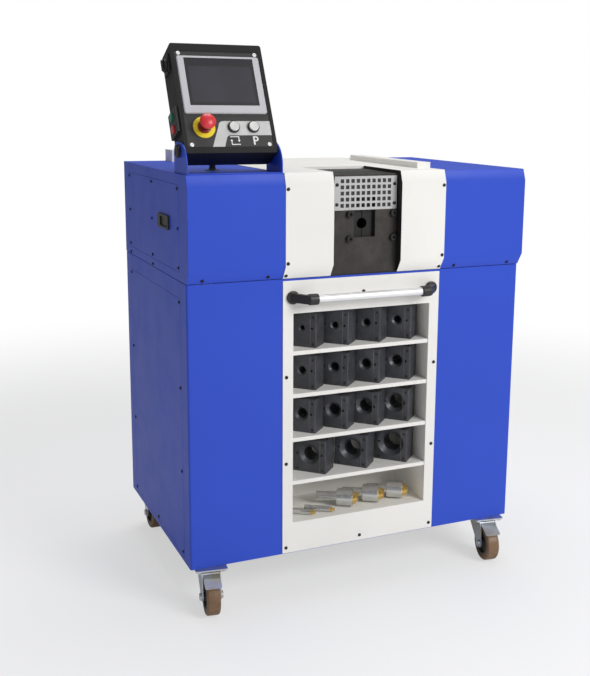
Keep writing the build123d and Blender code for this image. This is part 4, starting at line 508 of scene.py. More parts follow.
MAKERS = {
    "body_paint": lambda name: powder_coat(name, colours().body),
    "hood_paint": lambda name: powder_coat(name, colours().hood, 0.5),
    "panel_paint": lambda name: powder_coat(name, colours().panel, 0.5, 0.8),
    "guard_paint": lambda name: powder_coat(name, colours().guard, 0.4),
    "frame_paint": lambda name: powder_coat(name, linear(96, 100, 104), 0.5),
    # dark paint of the sheets on the hood opening's inner walls: painted shade
    "recess_paint": lambda name: powder_coat(name, linear(38, 36, 35), 0.55),
    "foil": lambda name: moulded(name, colours().foil, 0.5, 0.25, 2600.0),
    "foil_light": lambda name: moulded(name, colours().foil_light, 0.5, 0.2, 2600.0),
    "foil_print": lambda name: moulded(name, linear(226, 226, 224), 0.5, 0.15, 2600.0),
    "screen_frame": lambda name: powder_coat(name, colours().screen_frame, 0.36, 0.3),
    "screen_glass": lambda name: screen_glass_finish(name),
    "head_steel": lambda name: blackened_steel(name, colours().head, 0.5, 0.6),
    "die_steel": lambda name: blackened_steel(name, colours().dies, 0.38),
    # light steel of the die rebate lines: a painted highlight along the rebate edges
    "worn_steel": lambda name: blackened_steel(name, linear(118, 119, 120), 0.4, 0.4),
    "screw_steel": lambda name: blackened_steel(name, linear(40, 40, 42), 0.35, 0.4),
    "jaw_steel": lambda name: blackened_steel(name, linear(34, 33, 32), 0.42, 0.5),
    "mandrel_steel": lambda name: turned_metal(name, (0.66, 0.66, 0.65), (0, 0, math.radians(32)), 0.2),
    "brass_metal": lambda name: turned_metal(name, (0.83, 0.56, 0.16), (0, 0, math.radians(32)), 0.2),
    "zinc": lambda name: zinc_plate(name),
    "zinc_bright": lambda name: moulded(name, linear(236, 236, 234), 0.3, 0.1),
    "chrome": lambda name: chromed_rod(name),
    "aluminium": lambda name: anodised(name),
    "casting": lambda name: cast_paint(name),
    "valve_metal": lambda name: ground_steel(name, 0.5, "Z", 0.36),
    "black_plastic": lambda name: moulded(name, linear(40, 39, 38), 0.48),
    "hub_plastic": lambda name: moulded(name, linear(58, 56, 54), 0.5),
    "white_cap": lambda name: moulded(name, linear(214, 214, 212), 0.3, 0.05),
    "stop_red": lambda name: moulded(name, colours().red, 0.3, 0.05),
    # a darker copy of the stop red for the stem and the collar under the mushroom: painted shade
    "stop_red_dark": lambda name: moulded(name, tint(colours().red, 0.35), 0.4, 0.05),
    "ring_yellow": lambda name: moulded(name, colours().yellow, 0.35, 0.05),
    "start_green": lambda name: moulded(name, colours().green, 0.35, 0.05),
    "tread": lambda name: tread_rubber(name, colours().tread),
    "sheath": lambda name: moulded(name, linear(30, 30, 30), 0.55, 0.4, 900.0),
}


# ---- making meshes -------------------------------------------------------------------------------
def new_object(name, mesh):
    made = bpy.data.objects.new(name, mesh)
    bpy.context.scene.collection.objects.link(made)
    return made


def from_bmesh(name, work):
    """A finished object from a work mesh, its flat faces kept flat by sharp edges."""
    for face in work.faces:
        face.smooth = True
    for edge in work.edges:
        edge.smooth = edge.is_manifold and edge.calc_face_angle(0.0) < SMOOTH_ANGLE
    mesh = bpy.data.meshes.new(name)
    work.to_mesh(mesh)
    work.free()
    return new_object(name, mesh)


def as_plain(made, name=None):
    """The object with its modifiers turned into a plain mesh."""
    graph = bpy.context.evaluated_depsgraph_get()
    shown = made.evaluated_get(graph)
    mesh = bpy.data.meshes.new_from_object(shown, preserve_all_data_layers=True, depsgraph=graph)
    plain = new_object(name or made.name + "_plain", mesh)
    if name is None:
        keep = made.name
        bpy.data.objects.remove(made)
        plain.name = keep
    else:
        bpy.data.objects.remove(made)
    return plain


def rounded(made, radius, segments=2, angle=35):
    """Small rounding of all sharp edges."""
    bevel = made.modifiers.new("edges", "BEVEL")
    bevel.width = radius
    bevel.segments = segments
    bevel.limit_method = "ANGLE"
    bevel.angle_limit = math.radians(angle)
    bevel.miter_outer = "MITER_ARC"
    even = made.modifiers.new("flat_faces", "WEIGHTED_NORMAL")
    even.mode = "FACE_AREA"
    even.weight = 100
    even.keep_sharp = True
    return as_plain(made)


def piece(made, body, slot, material, *replaced):
    """Gives a finished piece its material, attaches it to what it rides on and hides the CAD nodes it stands
    for; the slot is not used.
    """
    made.data.materials.clear()
    made.data.materials.append(finish(material))
    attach(made, body)
    if replaced:
        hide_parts(*replaced)
    return made


def merged_copy(node):
    """A work mesh of a CAD node, its loose triangles joined and its flat faces made whole."""
    work = bmesh.new()
    work.from_mesh(frame["nodes"][node].data)
    bmesh.ops.remove_doubles(work, verts=work.verts, dist=CAD_WELD)
    flat = {"angle_face_threshold": math.radians(0.6), "angle_shape_threshold": math.radians(80)}
    bmesh.ops.join_triangles(work, faces=work.faces, **flat)
    return work


def dressed(node, body, slot, material, radius=None):
    """The CAD node with rounded edges and its finish."""
    made = from_bmesh(node + "_body", merged_copy(node))
    made = rounded(made, sizes().edge if radius is None else radius)
    return piece(made, body, slot, material, node)


def islands(work):
    """The vertices of a work mesh, one set for each solid."""
    todo = set(work.verts)
    found = []
    while todo:
        group, edge = set(), [todo.pop()]
        while edge:
            vertex = edge.pop()
            group.add(vertex)
            beside = [link.other_vert(vertex) for link in vertex.link_edges]
            edge += [other for other in beside if other not in group]
        todo -= group
        found.append(group)
    return found


def solids(node):
    """Every solid of a CAD node as its vertex places."""
    work = merged_copy(node)
    found = [[vertex.co.copy() for vertex in group] for group in islands(work)]
    work.free()
    return found


def chosen_solids(node, wanted):
    """A work mesh of those solids of a CAD node whose middle passes the test."""
    work = merged_copy(node)
    for group in islands(work):
        if not wanted(middle([vertex.co for vertex in group])):
            bmesh.ops.delete(work, geom=list(group), context="VERTS")
    return work


def middle(points):
    low, high = extent(points)
    return (low + high) / 2


def ring_angles(count):
    return [2 * math.pi * step / count for step in range(count)]


def join_rows(work, rows, segments):
    """Faces between each two neighbouring rings; a ring of one vertex gives triangles."""
    for first, second in zip(rows, rows[1:]):
        for step in range(segments):
            ahead = (step + 1) % segments
            lower = [first[step % len(first)], first[ahead % len(first)]]
            upper = [second[ahead % len(second)], second[step % len(second)]]
            unique = list(dict.fromkeys(lower + upper))
            if len(unique) > 2:
                work.faces.new(unique)


def lathe(name, profile, place, segments=64):
    """Turns a profile of (distance along the local X axis, radius) pairs about that axis."""
    work = bmesh.new()
    rows = []
    for along, radius in profile:
        if radius <= 0:
            rows.append([work.verts.new(place @ Vector((along, 0, 0)))])
            continue
        ring = [(along, radius * math.cos(a), radius * math.sin(a)) for a in ring_angles(segments)]
        rows.append([work.verts.new(place @ Vector(corner)) for corner in ring])
    join_rows(work, rows, segments)
    bmesh.ops.remove_doubles(work, verts=work.verts, dist=LATHE_WELD)
    bmesh.ops.recalc_face_normals(work, faces=work.faces)
    return from_bmesh(name, work)


def smooth_route(points):
    """Points of a smooth line between the first and the last of some chosen points."""
    curve = bpy.data.curves.new("cable_line", "CURVE")
    curve.dimensions = "3D"
    line = curve.splines.new("NURBS")
    line.points.add(len(points) - 1)
    for spot, point in zip(line.points, points):
        spot.co = (*point, 1.0)
    line.order_u = 3
    line.use_endpoint_u = True
    line.resolution_u = 8
    holder = new_object("cable_line", curve)
    graph = bpy.context.evaluated_depsgraph_get()
    mesh = bpy.data.meshes.new_from_object(holder.evaluated_get(graph))
    bpy.data.objects.remove(holder)
    return [vertex.co.copy() for vertex in mesh.vertices]


def tube(name, route, radius, sides=24):
    """A round tube along a route, its sections turned as little as they can be."""
    work = bmesh.new()
    rings = []
    across = None
    for place, point in enumerate(route):
        ahead = (route[min(place + 1, len(route) - 1)] - route[max(place - 1, 0)]).normalized()
        across = (across or ahead.orthogonal()) - ahead * (across or ahead.orthogonal()).dot(ahead)
        across.normalize()
        beside = ahead.cross(across)
        ways = [across * math.cos(a) + beside * math.sin(a) for a in ring_angles(sides)]
        rings.append([work.verts.new(point + way * radius) for way in ways])
    join_rows(work, rings, sides)
    work.faces.new(list(reversed(rings[0])))
    work.faces.new(rings[-1])
    bmesh.ops.recalc_face_normals(work, faces=work.faces)
    return from_bmesh(name, work)


def arc(centre, radius, start, end, steps=6):
    """Points of a round stretch; angles in degrees."""
    angles = [math.radians(start + (end - start) * step / steps) for step in range(steps + 1)]
    return [(centre[0] + radius * math.cos(a), centre[1] + radius * math.sin(a)) for a in angles]


def along_panel(x, z):
    """A frame whose X axis points out of the panel's face at (x, z)."""
    return PANEL @ Matrix.Translation((x, 0, z)) @ Matrix.Rotation(-math.pi / 2, 4, "Z")


def on_panel(node):
    """A frame in the panel's face plane, X out of it, at the middle of a CAD node."""
    centre = sum(panel_span(node), Vector()) / 2
    return along_panel(centre.x, centre.z)


def turned_piece(name, place, profile, body, slot, material, *replaced):
    """A lathe-turned piece from a profile in millimetres."""
    made = lathe(name, [(along * MM, radius * MM) for along, radius in profile], place)
    return piece(made, body, slot, material, *replaced)


def fluted_knob(name, place):
    """A grip knob along the local X axis with shallow flutes round it and a raised rim on its face."""
    work = bmesh.new()
    steps = KNOB_FLUTES * STEPS_PER_FLUTE
    rows = []
    for share_along, share_out in KNOB_PROFILE:
        along = share_along * KNOB_LENGTH
        if share_out == 0:
            rows.append([work.verts.new(place @ Vector((along, 0, 0)))])
            continue
        ring = []
        for angle in ring_angles(steps):
            wave = max(0.0, math.cos(KNOB_FLUTES * angle)) ** 2 * KNOB_FLUTE_DEPTH
            reach = KNOB_RADIUS * share_out - (wave if share_out > KNOB_GRIP_SHARE else 0.0)
            ring.append((along, reach * math.cos(angle), reach * math.sin(angle)))
        rows.append([work.verts.new(place @ Vector(corner)) for corner in ring])
    join_rows(work, rows, steps)
    bmesh.ops.recalc_face_normals(work, faces=work.faces)
    return from_bmesh(name, work)


def flat_shape(name, outline, place, thickness, holes=()):
    """A thin plate from an (x, z) outline; it stands out by its thickness along the local -Y axis."""
    work = bmesh.new()
    for points in (outline, *holes):
        ring = [work.verts.new((x, 0, z)) for x, z in points]
        for first, second in zip(ring, ring[1:] + ring[:1]):
            work.edges.new((first, second))
    bmesh.ops.triangle_fill(work, use_beauty=True, use_dissolve=True, edges=work.edges[:])
    sides = bmesh.ops.extrude_face_region(work, geom=work.faces[:])
    moved = [v for v in sides["geom"] if isinstance(v, bmesh.types.BMVert)]
    bmesh.ops.translate(work, verts=moved, vec=(0, -thickness, 0))
    bmesh.ops.recalc_face_normals(work, faces=work.faces)
    bmesh.ops.transform(work, matrix=place, verts=work.verts)
    return from_bmesh(name, work)


# ---- repeated parts by geometry nodes ------------------------------------------------------------
def screw_template(radius, height):
    """One pan head with a hexagon socket, standing on the floor of its own frame."""
    work = bmesh.new()
    rings = []
    socket = radius * 0.5
    profile = [(0, radius), (height * 0.45, radius)]
    for turn in (0.5, 1.0, 1.57):
        crown = height * 0.45 + height * 0.55 * math.sin(turn)
        profile.append((crown, radius * (0.55 + 0.45 * math.cos(turn))))
    around = ring_angles(SCREW_SEGMENTS)
    for z, reach in profile:
        rings.append([work.verts.new((reach * math.cos(a), reach * math.sin(a), z)) for a in around])
    for z in (height, height * 0.35):
        rings.append([work.verts.new(hexagon_point(socket, a, z)) for a in around])
    rings.append([work.verts.new((0, 0, height * 0.25))])
    join_rows(work, rings, SCREW_SEGMENTS)
    work.faces.new(list(reversed(rings[0])))
    bmesh.ops.recalc_face_normals(work, faces=work.faces)
    return from_bmesh("screw_template", work)


def hexagon_point(radius, angle, z):
    """Where a ray from the middle meets a hexagon of that across-flats radius."""
    sector = (angle + math.pi / 6) % (math.pi / 3) - math.pi / 6
    reach = radius / math.cos(sector)
    return (reach * math.cos(angle), reach * math.sin(angle), z)


def screw_tree():
    """Geometry nodes: a copy of the template on each point, turned to the point's facing."""
    group = bpy.data.node_groups.new("screws_on_points", "GeometryNodeTree")
    new = group.interface.new_socket
    new("Points", in_out="INPUT", socket_type="NodeSocketGeometry")
    template = new("Template", in_out="INPUT", socket_type="NodeSocketObject")
    material = new("Material", in_out="INPUT", socket_type="NodeSocketMaterial")
    new("Screws", in_out="OUTPUT", socket_type="NodeSocketGeometry")
    build = Tree(group)
    given = group.nodes.new("NodeGroupInput")
    facing = build.node("GeometryNodeInputNamedAttribute", {"data_type": "FLOAT_VECTOR"}, {"Name": "facing"})
    turned = build.node("FunctionNodeAlignRotationToVector", {"axis": "Z"}, {"Vector": facing})
    held = {"Object": Term(build, given.outputs[1])}
    shape = build.node("GeometryNodeObjectInfo", {}, held, output="Geometry")
    inputs = {"Points": Term(build, given.outputs[0]), "Instance": shape, "Rotation": turned}
    placed = build.node("GeometryNodeInstanceOnPoints", {}, inputs)
    real = build.node("GeometryNodeRealizeInstances", {}, {0: placed})
    inputs = {"Geometry": real, "Material": Term(build, given.outputs[2])}
    painted = build.node("GeometryNodeSetMaterial", {}, inputs)
    end = group.nodes.new("NodeGroupOutput")
    group.links.new(painted.socket, end.inputs[0])
    return group, template.identifier, material.identifier


def screws(name, places, radius, height, body, slot, material, *replaced):
    """Screw heads at (point, facing) places, as one mesh."""
    mesh = bpy.data.meshes.new(name)
    mesh.from_pydata([tuple(point) for point, _ in places], [], [])
    facing = mesh.attributes.new("facing", "FLOAT_VECTOR", "POINT")
    facing.data.foreach_set("vector", [part for _, direction in places for part in direction])
    points = new_object(name + "_points", mesh)
    template = screw_template(radius, height)
    group, template_id, material_id = screw_tree()
    modifier = points.modifiers.new("screws", "NODES")
    modifier.node_group = group
    modifier[template_id] = template
    modifier[material_id] = finish(material)
    made = as_plain(points, name)
    bpy.data.objects.remove(template)
    return piece(made, body, slot, material, *replaced)


def guard_tree():
    """Geometry nodes: a plate with a field of square holes and plain borders."""
    group = bpy.data.node_groups.new("perforated_plate", "GeometryNodeTree")
    new = group.interface.new_socket
    ids = {}
    for name, kind in (("Columns", "Int"), ("Rows", "Int"), ("Pitch across", "Float"), ("Pitch up", "Float"),
                       ("Hole", "Float"), ("Width", "Float"), ("Height", "Float"), ("Thickness", "Float"),
                       ("Material", "Material")):
        ids[name] = new(name, in_out="INPUT", socket_type="NodeSocket" + kind).identifier
    new("Plate", in_out="OUTPUT", socket_type="NodeSocketGeometry")
    build = Tree(group)
    given = group.nodes.new("NodeGroupInput")
    value = {socket.name: Term(build, socket) for socket in given.outputs if socket.name}
    wide, tall = value["Columns"] * value["Pitch across"], value["Rows"] * value["Pitch up"]
    grid = build.node("GeometryNodeMeshGrid", {}, {
        "Size X": wide + value["Pitch across"] * 2, "Size Y": tall + value["Pitch up"] * 2,
        "Vertices X": value["Columns"] + 3, "Vertices Y": value["Rows"] + 3,
    })
    here = build.node("GeometryNodeInputPosition")
    x, y = here.part(0), here.part(1)
    x_out = (abs(x) > wide * 0.51) * (value["Width"] * 0.5 - abs(x)) * x.sum("SIGN", x) + x
    y_out = (abs(y) > tall * 0.51) * (value["Height"] * 0.5 - abs(y)) * y.sum("SIGN", y) + y
    there = build.node("ShaderNodeCombineXYZ", {}, {0: x_out, 1: y_out})
    sheet = build.node("GeometryNodeSetPosition", {}, {"Geometry": grid, "Position": there})
    chosen = (abs(x) < wide * 0.5) * (abs(y) < tall * 0.5)
    inset = build.tree.nodes.new("GeometryNodeExtrudeMesh")
    build.fill(inset, {"Mesh": sheet, "Selection": chosen, "Offset Scale": 0.0, "Individual": True})
    top = Term(build, inset.outputs["Top"])
    shrunk = Term(build, inset.outputs["Mesh"])
    one_way = {"domain": "FACE", "scale_mode": "SINGLE_AXIS"}
    for axis, pitch in (((1, 0, 0), "Pitch across"), ((0, 1, 0), "Pitch up")):
        share = value["Hole"] / value[pitch]
        inputs = {"Geometry": shrunk, "Selection": top, "Scale": share, "Axis": axis}
        shrunk = build.node("GeometryNodeScaleElements", one_way, inputs)
    inputs = {"Geometry": shrunk, "Selection": top}
    open_sheet = build.node("GeometryNodeDeleteGeometry", {"domain": "FACE"}, inputs)
    inputs = {"Geometry": open_sheet, "Distance": GUARD_WELD}
    merged = build.node("GeometryNodeMergeByDistance", {}, inputs)
    thick = build.tree.nodes.new("GeometryNodeExtrudeMesh")
    build.fill(thick, {"Mesh": merged, "Offset Scale": value["Thickness"], "Individual": False})
    back = build.node("GeometryNodeFlipFaces", {}, {0: merged})
    both = build.tree.nodes.new("GeometryNodeJoinGeometry")
    build.tree.links.new(thick.outputs["Mesh"], both.inputs[0])
    build.tree.links.new(back.socket, both.inputs[0])
    inputs = {"Geometry": Term(build, both.outputs[0]), "Distance": GUARD_WELD}
    closed = build.node("GeometryNodeMergeByDistance", {}, inputs)
    real = build.node("GeometryNodeRealizeInstances", {}, {0: closed})
    painted = build.node("GeometryNodeSetMaterial", {}, {"Geometry": real, "Material": value["Material"]})
    end = group.nodes.new("NodeGroupOutput")
    group.links.new(painted.socket, end.inputs[0])
    return group, ids


# ---- reading places from the frame ---------------------------------------------------------------
def disc_place(points):
    """Middle and axis of a flat round solid."""
    centre = middle(points)
    spread = Matrix(((0, 0, 0), (0, 0, 0), (0, 0, 0)))
    for point in points:
        away = point - centre
        spread = spread + Matrix([[away[row] * away[column] for column in range(3)] for row in range(3)])
    best = None
    for candidate in (Vector((1, 0, 0)), Vector((0, 1, 0)), SLOPE):
        size = candidate.dot(spread @ candidate)
        if best is None or size < best[0]:
            best = (size, candidate)
    return centre, best[1]


def screw_places():
    """Middle of the seat and outward direction of every small cover screw."""
    places = []
    half = sizes().screw_height / 2
    for points in solids("cover_screws"):
        centre, axis = disc_place(points)
        outward = axis if axis.dot(centre - Vector((0, 0, centre.z))) > 0 else -axis
        places.append((centre - outward * half, outward))
    return places


def strip(work, corners, outward, thickness):
    """A thin raised strip on a flat face, from its four corners."""
    low = [work.verts.new(corner) for corner in corners]
    high = [work.verts.new(corner + outward * thickness) for corner in corners]
    work.faces.new(high)
    work.faces.new(list(reversed(low)))
    join_rows(work, (low, high), 4)


def wheel_place(name):
    """Middle of a wheel, its X axis along the axle."""
    turning = joint(name)
    axis = Vector(turning["axis"])
    angle = math.atan2(axis.y, axis.x)
    return Matrix.Translation(turning["pos_m"]) @ Matrix.Rotation(angle, 4, "Z")


# ---- operators -----------------------------------------------------------------------------------
class PieceOperator:
    """What the operators share."""

    bl_options = {"REGISTER", "UNDO"}

    def execute(self, context):
        self.make()
        return {"FINISHED"}


class PRESS_OT_covers(PieceOperator, bpy.types.Operator):
    """Cabinet, covers, hood, rack panel and rack"""

    bl_idname = "press.covers"
    bl_label = "Covers"

    def make(self):
        plain = {
            "base_tray": ("grey_paint", "frame_paint"),
            "lower_cabinet": ("blue_paint", "body_paint"),
            "rear_panel": ("blue_paint", "body_paint"),
            "side_access_panels": ("blue_paint", "body_paint"),
            "upper_left_cover": ("blue_paint", "body_paint"),
            "upper_right_cover": ("blue_paint", "body_paint"),
            "centre_hood": ("white_paint", "hood_paint"),
            "top_covers": ("white_paint", "hood_paint"),
            "rack_panel": ("white_paint", "hood_paint"),
            "rack_box": ("white_paint", "hood_paint"),
            "rack_shelves": ("white_paint", "hood_paint"),
            "side_latches": ("black_plastic", "black_plastic"),
            "panel_bracket": ("blue_paint", "body_paint"),
            "inner_frame": ("grey_paint", "frame_paint"),
        }
        for node, (slot, material) in plain.items():
            dressed(node, CABINET, slot, material)


class PRESS_OT_screws(PieceOperator, bpy.types.Operator):
    """Pan heads of the covers and panels"""

    bl_idname = "press.screws"
    bl_label = "Screws"

    def make(self):
        size = sizes()
        screws("cover_screw_heads", screw_places(), size.screw_radius, size.screw_height, CABINET,
               "zinc_steel", "screw_steel", "cover_screws")


class PRESS_OT_head(PieceOperator, bpy.types.Operator):
    """Clamping head, jaws, rams, hydraulics and guard"""

    bl_idname = "press.head"
    bl_label = "Clamping head"

    def make(self):
        dressed("head_front_plate", CABINET, "dark_steel", "head_steel")
        dressed("head_frame", CABINET, "cast_iron_frame", "casting")
        dressed("fixed_jaw", CABINET, "dark_steel", "jaw_steel")
        dressed("moving_jaw", "clamp_ram", "dark_steel", "jaw_steel")
        dressed("clamp_piston", "clamp_ram", "hard_chrome", "chrome")
        dressed("forming_ram", "forming_ram", "hard_chrome", "chrome")
        dressed("hydraulic_cylinders", CABINET, "grey_paint", "frame_paint")
        dressed("oil_tank", CABINET, "grey_paint", "frame_paint")
        dressed("motor_pump_set", CABINET, "grey_paint", "frame_paint", FINE_EDGE)
        dressed("valve_block", CABINET, "bright_steel", "valve_metal")
        self.head_screws()
        self.guard()
        # dark sheets on the hood opening's inner walls: painted shade
        self.shade_sheets()
        # black frame in the seam below the hoods: painted shade
        self.seam_shade()

    def shade_sheets(self):
        """Dark sheets on the two inner walls of the hood's opening: painted shade, standing for the shade
        that falls on those walls.
        """
        low, high = span("head_front_plate")
        walls = merged_copy("centre_hood")
        for side, name in ((-1, "recess_liner_left"), (1, "recess_liner_right")):
            edge = low.x if side < 0 else high.x
            shape = walls.copy()
            shape.normal_update()
            gone = [
                face for face in shape.faces
                if face.normal.x * side > -WALL_FACING or abs(face.calc_center_median().x - edge) > MM
            ]
            bmesh.ops.delete(shape, geom=gone, context="FACES")
            shade = bmesh.ops.extrude_face_region(shape, geom=shape.faces[:])
            moved = [part for part in shade["geom"] if isinstance(part, bmesh.types.BMVert)]
            bmesh.ops.translate(shape, verts=moved, vec=(-side * SHADE_SHEET_THICKNESS, 0, 0))
            bmesh.ops.recalc_face_normals(shape, faces=shape.faces)
            piece(from_bmesh(name, shape), CABINET, "black_paint", "recess_paint")
        walls.free()

    def seam_shade(self):
        """A black frame in the seam below the hoods, set back from the cabinet's four sides: painted shade,
        standing for the shade in that gap.
        """
        low, high = span("lower_cabinet")
        bottom, top = high.z - SEAM_SHADE_OVERLAP, span("centre_hood")[0].z + SEAM_SHADE_OVERLAP
        work = bmesh.new()
        loops = []
        for inset in (SEAM_SHADE_INSET, SEAM_SHADE_INSET + SEAM_SHADE_WIDTH):
            left, right, front, back = low.x + inset, high.x - inset, low.y + inset, high.y - inset
            ring = ((left, front), (right, front), (right, back), (left, back))
            for height in (bottom, top):
                loops.append([work.verts.new((x, y, height)) for x, y in ring])
        join_rows(work, [loops[row] for row in (0, 1, 3, 2, 0)], 4)
        bmesh.ops.recalc_face_normals(work, faces=work.faces)
        # the black strip paints the shade in the seam
        piece(from_bmesh("hood_seam_seal", work), CABINET, "black_plastic", "black_plastic")

    def head_screws(self):
        """The head's own socket screws; the other solids of their node are the panel's knobs."""
        low, high = span("head_front_plate")
        work = chosen_solids("large_screws", lambda centre: low.x < centre.x < high.x and centre.z < high.z)
        made = rounded(from_bmesh("head_socket_screws", work), sizes().edge)
        piece(made, CABINET, "dark_steel", "screw_steel", "large_screws")

    def guard(self):
        low, high = span("guard_plate")
        size = sizes()
        group, ids = guard_tree()
        holder = new_object("guard_holder", bpy.data.meshes.new("guard_holder"))
        modifier = holder.modifiers.new("plate", "NODES")
        modifier.node_group = group
        values = {
            "Columns": size.guard_columns, "Rows": size.guard_rows, "Pitch across": size.guard_pitch_x,
            "Pitch up": size.guard_pitch_z, "Hole": size.guard_hole, "Width": high.x - low.x,
            "Height": high.z - low.z, "Thickness": high.y - low.y, "Material": finish("guard_paint"),
        }
        for name, value in values.items():
            modifier[ids[name]] = value
        plate = as_plain(holder, "guard_perforated")
        centre = Vector(((low.x + high.x) / 2, high.y, (low.z + high.z) / 2))
        plate.data.transform(Matrix.Translation(centre) @ Matrix.Rotation(math.pi / 2, 4, "X"))
        piece(plate, CABINET, "grey_paint", "guard_paint", "guard_plate")


class PRESS_OT_rack(PieceOperator, bpy.types.Operator):
    """Dies and mandrels in the rack, and the push handle"""

    bl_idname = "press.rack"
    bl_label = "Dies and handle"

    def make(self):
        dressed("upper_die_blocks", CABINET, "dark_steel", "die_steel", DIE_EDGE)
        dressed("lower_die_blocks", CABINET, "dark_steel", "die_steel", DIE_EDGE)
        self.die_fittings()
        dressed("mandrel_bodies", CABINET, "bright_steel", "mandrel_steel")
        dressed("mandrel_tips", CABINET, "brass_metal", "brass_metal")
        dressed("handle_bar", CABINET, "anodised_aluminium", "aluminium")
        self.handle_ends()

    def handle_ends(self):
        """The CAD ends with all their corners softened, and the screw in the foot of each."""
        made = from_bmesh("handle_ends_moulded", merged_copy("handle_ends"))
        grid = made.modifiers.new("skin", "REMESH")
        grid.mode = "VOXEL"
        grid.voxel_size = HANDLE_VOXEL
        grid.use_smooth_shade = True
        soft = made.modifiers.new("soften", "SMOOTH")
        soft.factor = HANDLE_SMOOTHING
        soft.iterations = HANDLE_SMOOTH_STEPS
        piece(as_plain(made), CABINET, "black_plastic", "black_plastic", "handle_ends")
        low, high = span("handle_ends")
        deep, centre_z = high.y - HANDLE_SCREW_DEPTH, (low.z + high.z) / 2
        sides = (low.x + HANDLE_SCREW_INSET, high.x - HANDLE_SCREW_INSET)
        places = [(Vector((x, deep, centre_z)), Vector((0, -1, 0))) for x in sides]
        screws("handle_screws", places, *HANDLE_SCREW, CABINET, "dark_steel", "screw_steel")

    def die_fittings(self):
        """Small socket screws and light rebate lines on the bored faces of the dies; the light colour of the
        lines is a painted highlight along the rebate edges.
        """
        turn = Matrix.Rotation(-DIE_TURN, 3, "Z")
        across, outward, up = turn @ Vector((1, 0, 0)), turn @ Vector((0, -1, 0)), Vector((0, 0, 1))
        places = []
        highlight_strips = bmesh.new()
        for points in solids("upper_die_blocks") + solids("lower_die_blocks"):
            centre = middle(points)
            away = [point - centre for point in points]
            wide, deep, tall = (max(abs(place.dot(way)) for place in away) for way in (across, outward, up))
            face = centre + outward * deep
            for side, height in DIE_SCREW_SPOTS:
                spot = face + across * (wide * side - DIE_SCREW_INSET) + up * tall * height
                places.append((spot, outward))
            edge = face + across * (wide - DIE_REBATE_INSET)
            beside, above = across * DIE_REBATE_HALF_WIDTH, up * tall
            lower = (edge - beside - above, edge + beside - above)
            upper = (edge + beside + above, edge - beside + above)
            strip(highlight_strips, lower + upper, outward, DIE_REBATE_HEIGHT)
        screws("die_socket_screws", places, *DIE_SCREW, CABINET, "dark_steel", "screw_steel")
        # the light colour of the rebate lines is a painted highlight
        piece(from_bmesh("die_rebate_lines", highlight_strips), CABINET, "dark_steel", "worn_steel")


